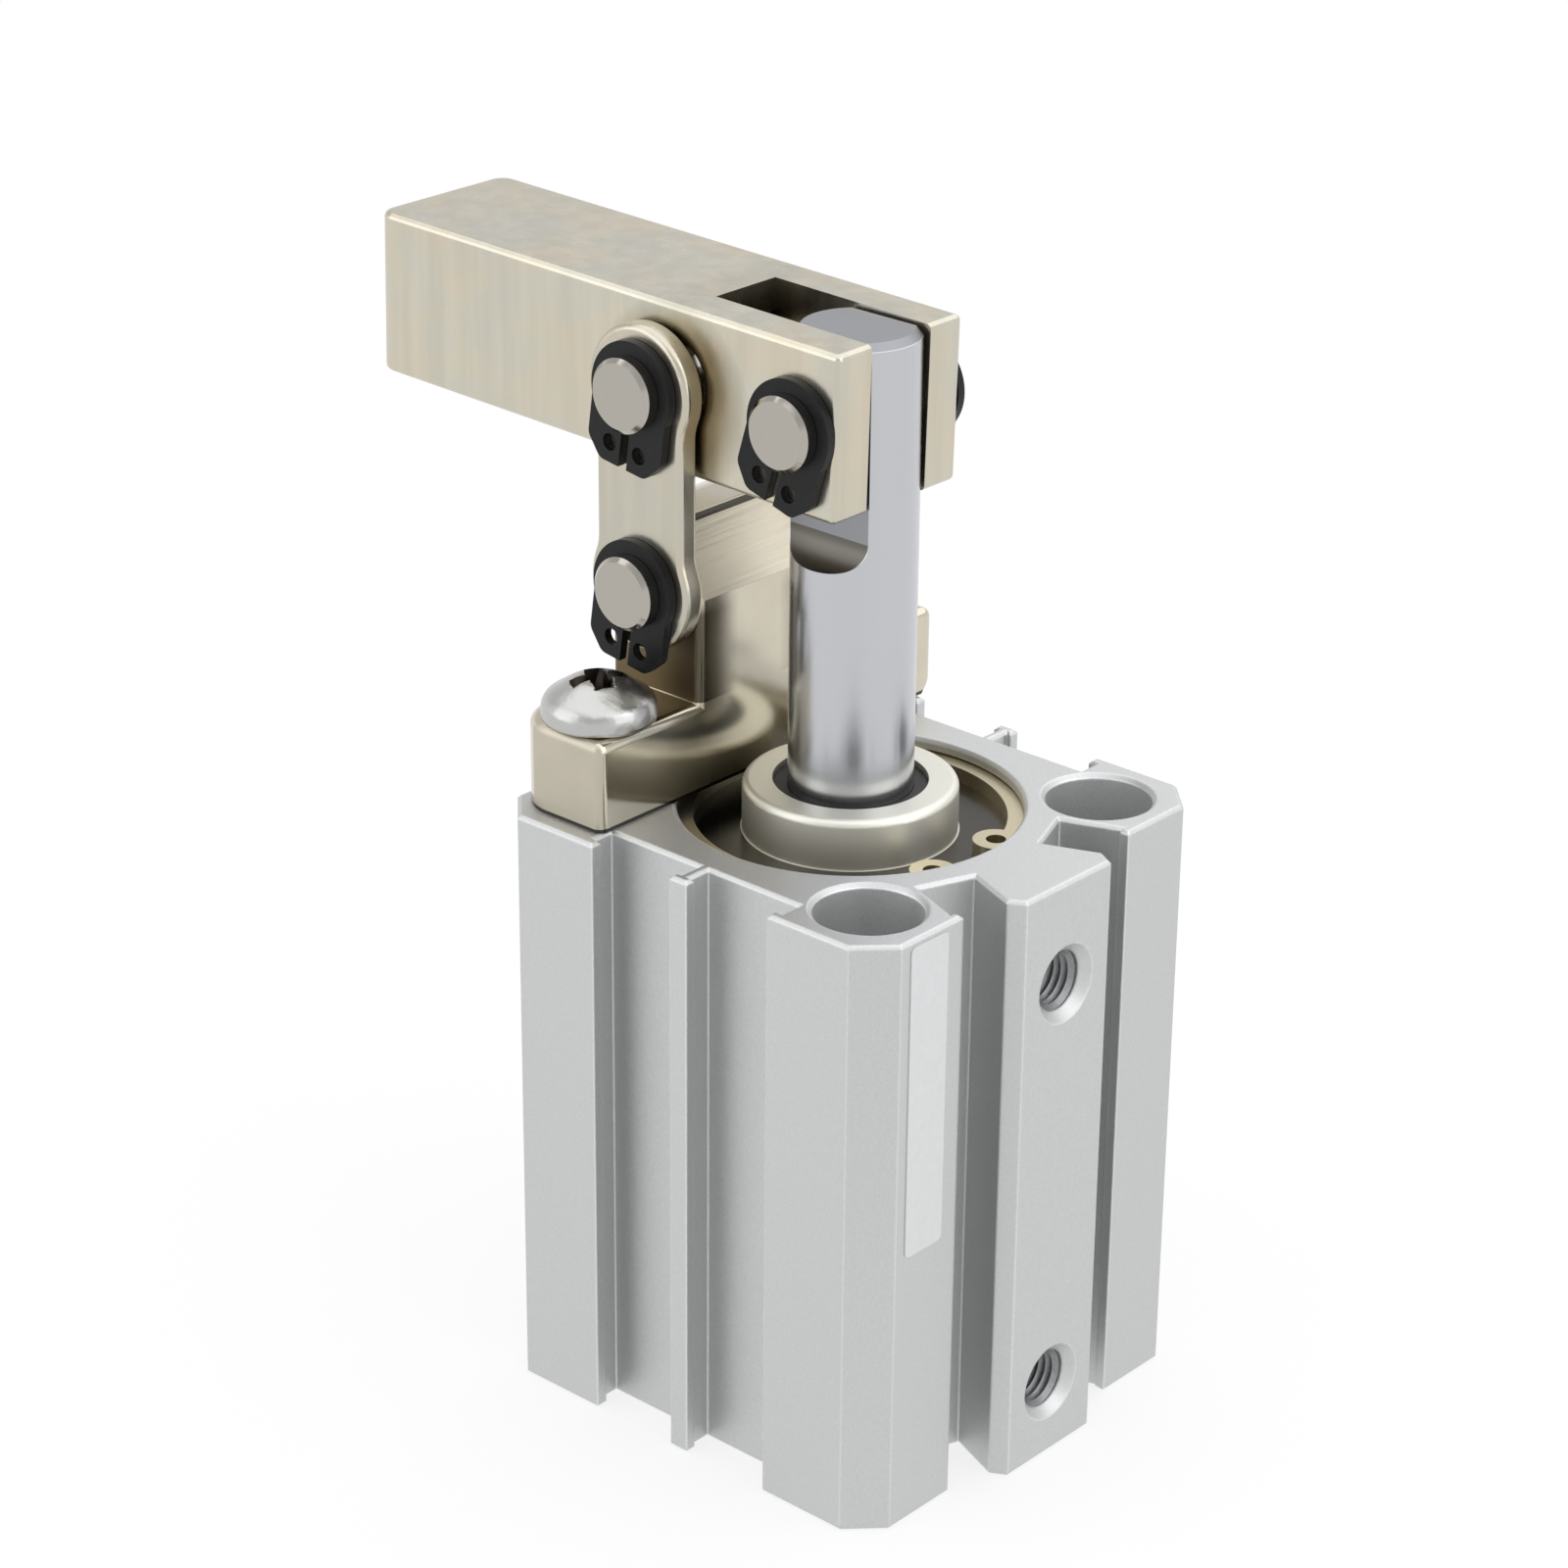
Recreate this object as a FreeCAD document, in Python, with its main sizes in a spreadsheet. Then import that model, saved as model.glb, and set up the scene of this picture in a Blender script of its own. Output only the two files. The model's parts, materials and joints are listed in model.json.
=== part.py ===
# Lever clamp cylinder: a square pneumatic cylinder whose rod swings a clamp arm down
# through a pair of links. Millimetres, +Z up along the rod, origin at the centre of the
# base face. The port face looks to +X, the clamp arm reaches out to -X and is shown in
# the clamped position.
import FreeCAD, Part
import os
import Sketcher

V = FreeCAD.Vector
Y_AXIS = V(0, 1, 0)
Z_AXIS = V(0, 0, 1)

doc = FreeCAD.newDocument("lever_clamp_cylinder")

# Driving dimensions. Each one is written once, here.
SIZES = [
    # square aluminium barrel
    ("body_width", 40.0),
    ("corner_chamfer", 2.8),
    ("end_chamfer", 0.25),
    ("hole_pitch", 28.0),
    ("bore_radius", 12.5),
    ("mouth_radius", 13.8),
    ("mouth_chamfer", 0.3),
    # sensor grooves of the three plain faces
    ("groove_mouth", 9.1),
    ("groove_reach", 9.8),
    ("groove_lip", 1.0),
    ("groove_depth", 2.95),
    ("rib_web", 0.45),
    ("rib_tip", 0.87),
    ("rib_tip_height", 0.9),
    # slanted grooves and dovetail boss of the port face
    ("boss_proud", 2.15),
    ("boss_front", 5.1),
    ("boss_wide", 5.9),
    ("boss_wide_proud", 0.75),
    ("boss_root", 4.05),
    ("boss_root_depth", 3.9),
    ("side_mouth", 10.1),
    ("side_reach", 10.45),
    ("side_lip", 0.9),
    ("side_floor", 8.6),
    ("side_floor_depth", 5.7),
    # mounting holes
    ("through_hole_radius", 2.6),
    ("base_thread_radius", 3.0),
    ("base_thread_depth", 12.0),
    ("counterbore_radius", 4.3),
    ("counterbore_depth", 12.0),
    ("rim_chamfer", 0.35),
    # air ports
    ("port_radius", 2.5),
    ("port_depth", 7.0),
    ("port_chamfer", 0.8),
    ("passage_radius", 1.25),
    ("port_from_top", 8.7),
    ("port_from_base", 6.55),
    # covers and their internal snap rings
    ("cap_depth", 7.0),
    ("cap_step", 3.6),
    ("cap_spigot", 1.7),
    ("cover_depth", 11.2),
    ("cover_step", 5.0),
    ("cover_spigot", 2.4),
    ("cover_clearance", 0.15),
    ("spigot_clearance", 0.05),
    ("cover_neck_radius", 11.5),
    ("collar_radius", 8.6),
    ("collar_height", 2.0),
    ("collar_round", 0.6),
    ("ring_setback", 1.0),
    ("ring_thick", 1.2),
    ("ring_play", 0.1),
    ("ring_groove_radius", 14.5),
    ("ring_outer", 14.2),
    ("ring_inner", 12.5),
    ("ring_gap", 3.0),
    ("ring_lug_place", 12.4),
    ("ring_lug_angle", 18.0),
    ("ring_lug_radius", 1.85),
    ("ring_lug_hole", 0.8),
    # O-rings of the covers
    ("cover_cord", 0.72),
    ("cap_cord", 0.5),
    ("cord_squeeze", 0.03),
    ("cord_side_gap", 0.08),
    ("cord_land", 0.2),
    # rod guide
    ("rod_radius", 5.0),
    ("rod_running", 0.03),
    ("seal_running", 0.04),
    ("bush_wall", 0.97),
    ("seal_room_radius", 6.95),
    ("seal_room_height", 3.3),
    ("seal_room_top", 3.4),
    ("seal_side_gap", 0.05),
    ("seal_neck_radius", 6.2),
    ("seal_lip_wall", 1.06),
    ("seal_lip_height", 1.5),
    # piston and what it carries
    ("stroke", 18.0),
    ("end_gap", 0.05),
    ("piston_length", 12.0),
    ("piston_clearance", 0.1),
    ("spigot_radius", 3.0),
    ("bore_fit", 0.02),
    ("nut_flats", 10.0),
    ("nut_height", 3.2),
    ("nut_room", 6.2),
    ("nut_sunk", 0.2),
    ("bumper_proud", 1.35),
    ("bumper_set", 1.0),
    ("bumper_front_inner", 6.0),
    ("bumper_rear_inner", 6.8),
    ("bumper_width", 3.3),
    ("bumper_fit", 0.03),
    ("magnet_floor", 9.6),
    ("magnet_place", 1.8),
    ("magnet_width", 2.4),
    ("magnet_sunk", 0.2),
    ("seal_floor", 10.2),
    ("seal_place", 5.2),
    ("seal_width", 3.0),
    ("seal_notch", 0.7),
    ("wear_floor", 11.5),
    ("wear_place", 9.0),
    ("wear_width", 2.0),
    ("ring_fit", 0.05),
    # rod end: a flat tongue with round run-outs
    ("tongue_thick", 6.0),
    ("tongue_below_pin", 9.46),
    ("runout_radius", 2.6),
    ("rod_above_pin", 6.44),
    ("rod_chamfer", 0.6),
    # linkage
    ("lever_length", 14.0),
    ("link_length", 16.2),
    ("pivot_height", 17.0),
    ("arm_tilt", 1.4),
    ("pin_radius", 3.0),
    ("pin_running", 0.05),
    ("pin_chamfer", 0.35),
    ("pin_proud", 1.35),
    # clamp arm
    ("arm_width", 14.3),
    ("arm_thick", 13.45),
    ("arm_reach", 45.3),
    ("arm_heel", 4.2),
    ("arm_round", 0.5),
    ("arm_tip_round", 1.5),
    ("fork_depth", 11.6),
    ("fork_clearance", 0.4),
    ("free_run", 1.6),
    ("free_play", 0.45),
    ("free_angle", 25.8),
    # link plates
    ("plate_thick", 2.0),
    ("plate_gap", 0.35),
    ("plate_end_radius", 5.2),
    ("plate_waist", 4.5),
    ("plate_blend", 4.0),
    ("plate_round", 0.5),
    # external circlips of the pins
    ("clip_thick", 0.75),
    ("clip_play", 0.05),
    ("clip_outer", 4.1),
    ("clip_inner", 2.85),
    ("clip_floor", 2.8),
    ("clip_slit", 0.43),
    ("clip_side", 3.85),
    ("clip_side_reach", 4.8),
    ("clip_lug_half", 2.4),
    ("clip_lug_reach", 6.4),
    ("clip_lug_round", 1.0),
    ("clip_hole_x", 1.55),
    ("clip_hole_y", 4.75),
    ("clip_hole_radius", 0.7),
    ("rod_clip_turn", 16.5),
    ("link_clip_turn", 8.2),
    # pivot bracket and its screws
    ("bar_front", 4.15),
    ("bar_back", 5.75),
    ("bar_near", 18.25),
    ("bar_far", 21.75),
    ("bar_height", 7.45),
    ("bar_round", 0.8),
    ("bar_back_round", 4.0),
    ("bar_chamfer_run", 1.3),
    ("bar_chamfer_rise", 1.65),
    ("lug_half", 6.9),
    ("lug_front", 4.15),
    ("lug_back", 5.5),
    ("lug_height", 22.5),
    ("lug_back_round", 4.0),
    ("lug_round", 0.75),
    ("slope_start", 16.1),
    ("slope_end", 22.0),
    ("slope_run", 2.38),
    ("screw_radius", 2.5),
    ("screw_reach", 12.0),
    ("screw_thread_fit", 0.05),
    ("screw_hole_spare", 2.0),
    ("screw_clearance", 0.25),
    ("screw_tip", 0.6),
    ("head_radius", 4.6),
    ("head_height", 3.5),
    ("head_shoulder", 1.75),
    ("head_flat", 1.9),
    ("head_round", 1.6),
    ("head_crown", 3.0),
    ("head_under", 0.5),
]

# Cuts run this far past the faces that they leave through.
PAST = "1"

sheet = doc.addObject("Spreadsheet::Sheet", "Size")
for row, (name, value) in enumerate(SIZES, 1):
    sheet.set(f"A{row}", name)
    sheet.set(f"B{row}", str(value))
    sheet.setAlias(f"B{row}", name)
doc.recompute()


def size(name):
    return float(sheet.get(name))


# Levels and places worked out from the driving dimensions, as expressions.
END_ROOM = "(Size.bumper_proud + Size.end_gap)"
CHAMBER = f"(Size.stroke + Size.piston_length + 2 * {END_ROOM})"
TOP = f"(Size.cap_depth + {CHAMBER} + Size.cover_depth)"
HALF = "(Size.body_width / 2)"
HOLE = "(Size.hole_pitch / 2)"
BOSS_FACE = f"({HALF} + Size.boss_proud)"
RING_ROOM = "(Size.ring_setback + Size.ring_thick)"
FLANGE_RADIUS = "(Size.mouth_radius - Size.cover_clearance)"
SPIGOT_RADIUS = "(Size.bore_radius - Size.spigot_clearance)"
COVER_BOTTOM = f"({TOP} - Size.cover_depth)"
COVER_SHOULDER = f"({TOP} - Size.cover_step)"
COVER_FLANGE_TOP = f"({TOP} - {RING_ROOM})"
BUSH_TOP = f"({TOP} - Size.seal_room_top)"
SEAL_ROOM_TOP = f"({BUSH_TOP} + Size.seal_room_height)"
BUSH_INNER = "(Size.rod_radius + Size.rod_running)"
BUSH_OUTER = f"({BUSH_INNER} + Size.bush_wall)"
SEAL_INNER = "(Size.rod_radius + Size.seal_running)"

# The arm's tilt lowers the rod pin below its place with the arm level.
RISE = "(Size.lever_length * sin(Size.arm_tilt * 1 deg))"
LEAN = "(Size.lever_length * (1 - cos(Size.arm_tilt * 1 deg)))"
LINK_RISE = f"sqrt(Size.link_length ^ 2 - {LEAN} ^ 2)"
REST_DROP = f"(Size.link_length - {LINK_RISE} + {RISE})"
PIVOT_X = "(-Size.lever_length)"
PIVOT_Z = f"({TOP} + Size.pivot_height)"
ROD_PIN_Z = f"({PIVOT_Z} + Size.link_length - {REST_DROP})"
PISTON_TOP = f"({COVER_BOTTOM} - {END_ROOM} - {REST_DROP})"
PISTON_BOTTOM = f"({PISTON_TOP} - Size.piston_length)"
PISTON_RADIUS = "(Size.bore_radius - Size.piston_clearance)"
PIN_BORE = "(Size.pin_radius + Size.pin_running)"
ARM_HALF = "(Size.arm_width / 2)"
PLATE_INNER = f"({ARM_HALF} + Size.plate_gap)"
PLATE_OUTER = f"({PLATE_INNER} + Size.plate_thick)"
ROD_CLIP = f"({ARM_HALF} + Size.clip_play)"
LINK_CLIP = f"({PLATE_OUTER} + Size.clip_play)"
BAR_TOP = f"({TOP} + Size.bar_height)"


# Drawing tools
subparts = []


def new_body(label, x="0", y="0", z="0", tilt=None):
    body = doc.addObject("PartDesign::Body", label)
    body.Label = label
    subparts.append(body)
    if tilt:
        body.Placement = FreeCAD.Placement(V(), FreeCAD.Rotation(Y_AXIS, size(tilt)))
        body.setExpression("Placement.Rotation.Angle", f"Size.{tilt} * 1 deg")
    for axis, place in zip("xyz", (x, y, z)):
        body.setExpression(f"Placement.Base.{axis}", place)
    return body


def new_sketch(body, name, role, level=None, turn=0.0):
    sketch = body.newObject("Sketcher::SketchObject", name)
    origin_plane = [f for f in body.Origin.OriginFeatures if f.Role == role][0]
    sketch.AttachmentSupport = [(origin_plane, "")]
    sketch.MapMode = "FlatFace"
    sketch.AttachmentOffset = FreeCAD.Placement(V(), FreeCAD.Rotation(Z_AXIS, turn))
    if level:
        sketch.setExpression("AttachmentOffset.Base.z", level)
    return sketch


def bind(sketch, kind, *where, value):
    at = sketch.addConstraint(Sketcher.Constraint(kind, *where, 1.0))
    sketch.setExpression(f"Constraints[{at}]", value)


def polygon(sketch, corners):
    first = sketch.GeometryCount
    count = len(corners)
    seeds = [FreeCAD.Rotation(Z_AXIS, 360 * k / count).multVec(V(10, 0, 0)) for k in range(count)]
    for k in range(count):
        sketch.addGeometry(Part.LineSegment(seeds[k], seeds[(k + 1) % count]))
    for k in range(count):
        after = first + (k + 1) % count
        sketch.addConstraint(Sketcher.Constraint("Coincident", first + k, 2, after, 1))
    for k, (x, y) in enumerate(corners):
        bind(sketch, "DistanceX", -1, 1, first + k, 1, value=x)
        bind(sketch, "DistanceY", -1, 1, first + k, 1, value=y)


def rectangle(sketch, x_low, x_high, y_low, y_high):
    polygon(sketch, [(x_low, y_low), (x_high, y_low), (x_high, y_high), (x_low, y_high)])


def circle(sketch, x, y, radius):
    at = sketch.addGeometry(Part.Circle(V(1, 1, 0), Z_AXIS, 1))
    bind(sketch, "DistanceX", -1, 1, at, 3, value=x)
    bind(sketch, "DistanceY", -1, 1, at, 3, value=y)
    bind(sketch, "Radius", at, value=radius)


def extrude(body, kind, name, sketch, length=None, both=False, reverse=False):
    feature = body.newObject("PartDesign::" + kind, name)
    feature.Profile = sketch
    if both:
        feature.SideType = "Symmetric"
    feature.Reversed = reverse
    if length:
        feature.setExpression("Length", length)
    else:
        feature.Type = "ThroughAll"
    return feature


def turn(body, kind, name, sketch):
    feature = body.newObject("PartDesign::" + kind, name)
    feature.Profile = sketch
    feature.ReferenceAxis = (sketch, ["V_Axis"])
    feature.Angle = 360
    return feature


def turned_part(label, outline, role="XZ_Plane", **place):
    body = new_body(label, **place)
    sketch = new_sketch(body, label + "_outline", role)
    polygon(sketch, outline)
    turn(body, "Revolution", label + "_turned", sketch)
    return body


def edge_work(body, kind, name, amount, chosen):
    doc.recompute()
    base = body.Tip
    edges = [f"Edge{k}" for k, edge in enumerate(base.Shape.Edges, 1) if chosen(edge)]
    feature = body.newObject("PartDesign::" + kind, name)
    feature.Base = (base, edges)
    feature.setExpression({"Fillet": "Radius", "Chamfer": "Size"}[kind], amount)
    return feature


def near(a, b, within=0.01):
    return abs(a - b) < within


def on_level(edge, axis, value):
    box = edge.BoundBox
    low, high = {"x": (box.XMin, box.XMax), "y": (box.YMin, box.YMax), "z": (box.ZMin, box.ZMax)}[axis]
    return near(low, value) and near(high, value)


def is_round(edge, radius):
    return isinstance(edge.Curve, Part.Circle) and near(edge.Curve.Radius, radius)


# Barrel
def grooved_face(body, name, turned_by):
    sketch = new_sketch(body, name, "XY_Plane", turn=turned_by)
    face = f"({HALF} + {PAST})"
    lip = f"({HALF} - Size.groove_lip)"
    floor = f"({HALF} - Size.groove_depth)"
    tip = f"({HALF} - Size.rib_tip_height)"
    for side in ("", "-"):
        polygon(sketch, [
            (face, f"{side}Size.groove_mouth"),
            (lip, f"{side}Size.groove_mouth"),
            (lip, f"{side}Size.groove_reach"),
            (floor, f"{side}Size.groove_reach"),
            (floor, f"{side}Size.rib_web"),
            (tip, f"{side}Size.rib_web"),
            (tip, f"{side}Size.rib_tip"),
            (face, f"{side}Size.rib_tip"),
        ])
    extrude(body, "Pocket", name + "_cut", sketch, reverse=True)


def port_face(body):
    boss_wide = f"({HALF} + Size.boss_wide_proud)"
    boss_root = f"({HALF} - Size.boss_root_depth)"
    sketch = new_sketch(body, "boss_outline", "XY_Plane")
    polygon(sketch, [
        (boss_root, "-Size.boss_root"),
        (boss_wide, "-Size.boss_wide"),
        (BOSS_FACE, "-Size.boss_front"),
        (BOSS_FACE, "Size.boss_front"),
        (boss_wide, "Size.boss_wide"),
        (boss_root, "Size.boss_root"),
    ])
    extrude(body, "Pad", "boss", sketch, TOP)
    sketch = new_sketch(body, "side_groove_outline", "XY_Plane")
    lip = f"({HALF} - Size.side_lip)"
    floor = f"({HALF} - Size.side_floor_depth)"
    for side in ("", "-"):
        polygon(sketch, [
            (boss_root, f"{side}Size.boss_root"),
            (boss_wide, f"{side}Size.boss_wide"),
            (boss_wide, f"{side}Size.side_mouth"),
            (lip, f"{side}Size.side_mouth"),
            (lip, f"{side}Size.side_reach"),
            (floor, f"{side}Size.side_floor"),
        ])
    extrude(body, "Pocket", "side_grooves", sketch, reverse=True)


def barrel_bore(body):
    ring_low = f"({RING_ROOM} + Size.ring_play)"
    sketch = new_sketch(body, "bore_outline", "XZ_Plane")
    rim = "(Size.mouth_radius + Size.mouth_chamfer)"
    polygon(sketch, [
        ("0", "0"),
        (rim, "0"),
        ("Size.mouth_radius", "Size.mouth_chamfer"),
        ("Size.mouth_radius", "Size.ring_setback - Size.ring_play"),
        ("Size.ring_groove_radius", "Size.ring_setback - Size.ring_play"),
        ("Size.ring_groove_radius", RING_ROOM),
        ("Size.mouth_radius", RING_ROOM),
        ("Size.mouth_radius", "Size.cap_step"),
        ("Size.bore_radius", "Size.cap_step"),
        ("Size.bore_radius", COVER_SHOULDER),
        ("Size.mouth_radius", COVER_SHOULDER),
        ("Size.mouth_radius", COVER_FLANGE_TOP),
        ("Size.ring_groove_radius", COVER_FLANGE_TOP),
        ("Size.ring_groove_radius", f"{COVER_FLANGE_TOP} + Size.ring_thick + Size.ring_play"),
        ("Size.mouth_radius", f"{COVER_FLANGE_TOP} + Size.ring_thick + Size.ring_play"),
        ("Size.mouth_radius", f"{TOP} - Size.mouth_chamfer"),
        (rim, TOP),
        ("0", TOP),
    ])
    turn(body, "Groove", "bore", sketch)


def barrel_holes(body):
    through = new_sketch(body, "through_holes", "XY_Plane")
    counterbores = new_sketch(body, "counterbores", "XY_Plane", level=TOP)
    rims = new_sketch(body, "counterbore_rims", "XY_Plane", level=TOP)
    screw_holes = new_sketch(body, "screw_holes", "XY_Plane", level=TOP)
    base_threads = new_sketch(body, "base_threads", "XY_Plane")
    for side in ("", "-"):
        circle(through, HOLE, side + HOLE, "Size.through_hole_radius")
        circle(counterbores, HOLE, side + HOLE, "Size.counterbore_radius")
        circle(rims, HOLE, side + HOLE, "Size.counterbore_radius + Size.rim_chamfer")
        circle(screw_holes, "-" + HOLE, side + HOLE, "Size.screw_radius + Size.screw_thread_fit")
        for end in ("", "-"):
            circle(base_threads, end + HOLE, side + HOLE, "Size.base_thread_radius")
    extrude(body, "Pocket", "through_hole_cut", through, reverse=True)
    extrude(body, "Pocket", "counterbore_cut", counterbores, "Size.counterbore_depth")
    rim_cut = extrude(body, "Pocket", "counterbore_rim_cut", rims, "Size.rim_chamfer")
    rim_cut.TaperAngle = -45
    extrude(body, "Pocket", "screw_hole_cut", screw_holes, "Size.screw_reach + Size.screw_hole_spare")
    extrude(body, "Pocket", "base_thread_cut", base_threads, "Size.base_thread_depth", reverse=True)


def barrel_ports(body):
    for name, height in (("upper", f"{TOP} - Size.port_from_top"), ("lower", "Size.port_from_base")):
        sketch = new_sketch(body, name + "_port", "YZ_Plane", level=BOSS_FACE)
        circle(sketch, "0", height, "Size.port_radius")
        extrude(body, "Pocket", name + "_port_cut", sketch, "Size.port_depth")
        sketch = new_sketch(body, name + "_passage", "YZ_Plane", level=BOSS_FACE)
        circle(sketch, "0", height, "Size.passage_radius")
        extrude(body, "Pocket", name + "_passage_cut", sketch, BOSS_FACE)


def make_barrel():
    body = new_body("barrel")
    sketch = new_sketch(body, "barrel_outline", "XY_Plane")
    short = f"({HALF} - Size.corner_chamfer)"
    polygon(sketch, [
        (HALF, "-" + short), (HALF, short),
        (short, HALF), ("-" + short, HALF),
        ("-" + HALF, short), ("-" + HALF, "-" + short),
        ("-" + short, "-" + HALF), (short, "-" + HALF),
    ])
    extrude(body, "Pad", "block", sketch, TOP)
    port_face(body)
    grooved_face(body, "far_grooves", 90)
    grooved_face(body, "back_grooves", 180)
    grooved_face(body, "near_grooves", 270)
    doc.recompute()
    top = body.Shape.BoundBox.ZMax

    def end_rim(edge):
        return on_level(edge, "z", 0) or on_level(edge, "z", top)

    edge_work(body, "Chamfer", "end_rims", "Size.end_chamfer", end_rim)
    barrel_bore(body)
    barrel_holes(body)
    barrel_ports(body)
    face = size("body_width") / 2 + size("boss_proud")

    def port_rim(edge):
        return is_round(edge, size("port_radius")) and on_level(edge, "x", face)

    edge_work(body, "Chamfer", "port_countersinks", "Size.port_chamfer", port_rim)


# Covers, seals and snap rings
def cord_groove(cord, low, outer):
    floor = f"(Size.bore_radius - Size.cord_squeeze - 2 * {cord})"
    high = f"({low} + 2 * {cord} + 2 * Size.cord_side_gap)"
    return [(outer, low), (floor, low), (floor, high), (outer, high)]


def make_cord(label, cord, groove_low):
    body = new_body(label)
    sketch = new_sketch(body, label + "_section", "XZ_Plane")
    middle = f"(Size.bore_radius - Size.cord_squeeze - {cord})"
    circle(sketch, middle, f"{groove_low} + Size.cord_side_gap + {cord}", cord)
    turn(body, "Revolution", label + "_turned", sketch)


def make_rod_cover():
    spigot_low = f"({COVER_SHOULDER} - Size.cover_spigot)"
    groove_low = f"({spigot_low} + Size.cord_land)"
    collar_top = f"({TOP} + Size.collar_height)"
    body = turned_part("rod_cover", [
        (BUSH_OUTER, COVER_BOTTOM),
        ("Size.cover_neck_radius", COVER_BOTTOM),
        ("Size.cover_neck_radius", spigot_low),
        (SPIGOT_RADIUS, spigot_low),
        *cord_groove("Size.cover_cord", groove_low, SPIGOT_RADIUS),
        (SPIGOT_RADIUS, COVER_SHOULDER),
        (FLANGE_RADIUS, COVER_SHOULDER),
        (FLANGE_RADIUS, COVER_FLANGE_TOP),
        ("Size.collar_radius", COVER_FLANGE_TOP),
        ("Size.collar_radius", collar_top),
        ("Size.seal_neck_radius", collar_top),
        ("Size.seal_neck_radius", SEAL_ROOM_TOP),
        ("Size.seal_room_radius", SEAL_ROOM_TOP),
        ("Size.seal_room_radius", BUSH_TOP),
        (BUSH_OUTER, BUSH_TOP),
    ])
    doc.recompute()
    top = body.Shape.BoundBox.ZMax

    def collar_rim(edge):
        return is_round(edge, size("collar_radius")) and on_level(edge, "z", top)

    edge_work(body, "Fillet", "collar_rim", "Size.collar_round", collar_rim)
    make_cord("rod_cover_o_ring", "Size.cover_cord", groove_low)


def make_rod_guide():
    turned_part("rod_bush", [
        (BUSH_INNER, COVER_BOTTOM),
        (BUSH_OUTER, COVER_BOTTOM),
        (BUSH_OUTER, BUSH_TOP),
        (BUSH_INNER, BUSH_TOP),
    ])
    foot_top = f"({SEAL_ROOM_TOP} - Size.seal_side_gap)"
    foot_outer = "(Size.seal_room_radius - Size.seal_side_gap)"
    lip_outer = f"({SEAL_INNER} + Size.seal_lip_wall)"
    lip_top = f"({TOP} + Size.seal_lip_height)"
    turned_part("rod_seal", [
        (SEAL_INNER, BUSH_TOP),
        (foot_outer, BUSH_TOP),
        (foot_outer, foot_top),
        (lip_outer, foot_top),
        (lip_outer, lip_top),
        (SEAL_INNER, lip_top),
    ])


def make_cap_cover():
    spigot_top = "(Size.cap_step + Size.cap_spigot)"
    groove_low = "(Size.cap_step + Size.cord_land)"
    turned_part("cap_cover", [
        ("0", RING_ROOM),
        (FLANGE_RADIUS, RING_ROOM),
        (FLANGE_RADIUS, "Size.cap_step"),
        (SPIGOT_RADIUS, "Size.cap_step"),
        *cord_groove("Size.cap_cord", groove_low, SPIGOT_RADIUS),
        (SPIGOT_RADIUS, spigot_top),
        ("Size.cover_neck_radius", spigot_top),
        ("Size.cover_neck_radius", "Size.cap_depth"),
        ("0", "Size.cap_depth"),
    ])
    make_cord("cap_o_ring", "Size.cap_cord", groove_low)


def make_snap_ring(label, low):
    body = new_body(label, z=low)
    ring = new_sketch(body, label + "_ring", "XY_Plane")
    circle(ring, "0", "0", "Size.ring_outer")
    circle(ring, "0", "0", "Size.ring_inner")
    extrude(body, "Pad", label + "_pad", ring, "Size.ring_thick")
    gap = new_sketch(body, label + "_gap", "XY_Plane")
    rectangle(gap, "0", f"Size.ring_outer + {PAST}", "-Size.ring_gap", "Size.ring_gap")
    extrude(body, "Pocket", label + "_gap_cut", gap, reverse=True)
    lug_x = "(Size.ring_lug_place * cos(Size.ring_lug_angle * 1 deg))"
    lug_y = "(Size.ring_lug_place * sin(Size.ring_lug_angle * 1 deg))"
    lugs = new_sketch(body, label + "_lugs", "XY_Plane")
    holes = new_sketch(body, label + "_holes", "XY_Plane")
    for side in ("", "-"):
        circle(lugs, lug_x, side + lug_y, "Size.ring_lug_radius")
        circle(holes, lug_x, side + lug_y, "Size.ring_lug_hole")
    extrude(body, "Pad", label + "_lug_pad", lugs, "Size.ring_thick")
    extrude(body, "Pocket", label + "_hole_cut", holes, reverse=True)


# Piston, rod and what they carry
def ring_seat(place, width, floor):
    low = f"({PISTON_BOTTOM} + {place})"
    high = f"({low} + {width})"
    return [(PISTON_RADIUS, low), (floor, low), (floor, high), (PISTON_RADIUS, high)]


def bumper_ring(inner, face, inward):
    outer = f"({inner} + Size.bumper_width)"
    seat = f"({face} {inward} Size.bumper_set)"
    return outer, seat


def make_piston():
    bore = "(Size.spigot_radius + Size.bore_fit)"
    nut_seat = f"({PISTON_BOTTOM} + Size.nut_sunk + Size.nut_height)"
    rear_outer, rear_seat = bumper_ring("Size.bumper_rear_inner", PISTON_BOTTOM, "+")
    front_outer, front_seat = bumper_ring("Size.bumper_front_inner", PISTON_TOP, "-")
    turned_part("piston", [
        ("Size.nut_room", PISTON_BOTTOM),
        ("Size.bumper_rear_inner", PISTON_BOTTOM),
        ("Size.bumper_rear_inner", rear_seat),
        (rear_outer, rear_seat),
        (rear_outer, PISTON_BOTTOM),
        (PISTON_RADIUS, PISTON_BOTTOM),
        *ring_seat("Size.magnet_place", "Size.magnet_width", "Size.magnet_floor"),
        *ring_seat("Size.seal_place", "Size.seal_width", "Size.seal_floor"),
        *ring_seat("Size.wear_place", "Size.wear_width", "Size.wear_floor"),
        (PISTON_RADIUS, PISTON_TOP),
        (front_outer, PISTON_TOP),
        (front_outer, front_seat),
        ("Size.bumper_front_inner", front_seat),
        ("Size.bumper_front_inner", PISTON_TOP),
        (bore, PISTON_TOP),
        (bore, nut_seat),
        ("Size.nut_room", nut_seat),
    ])


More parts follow.
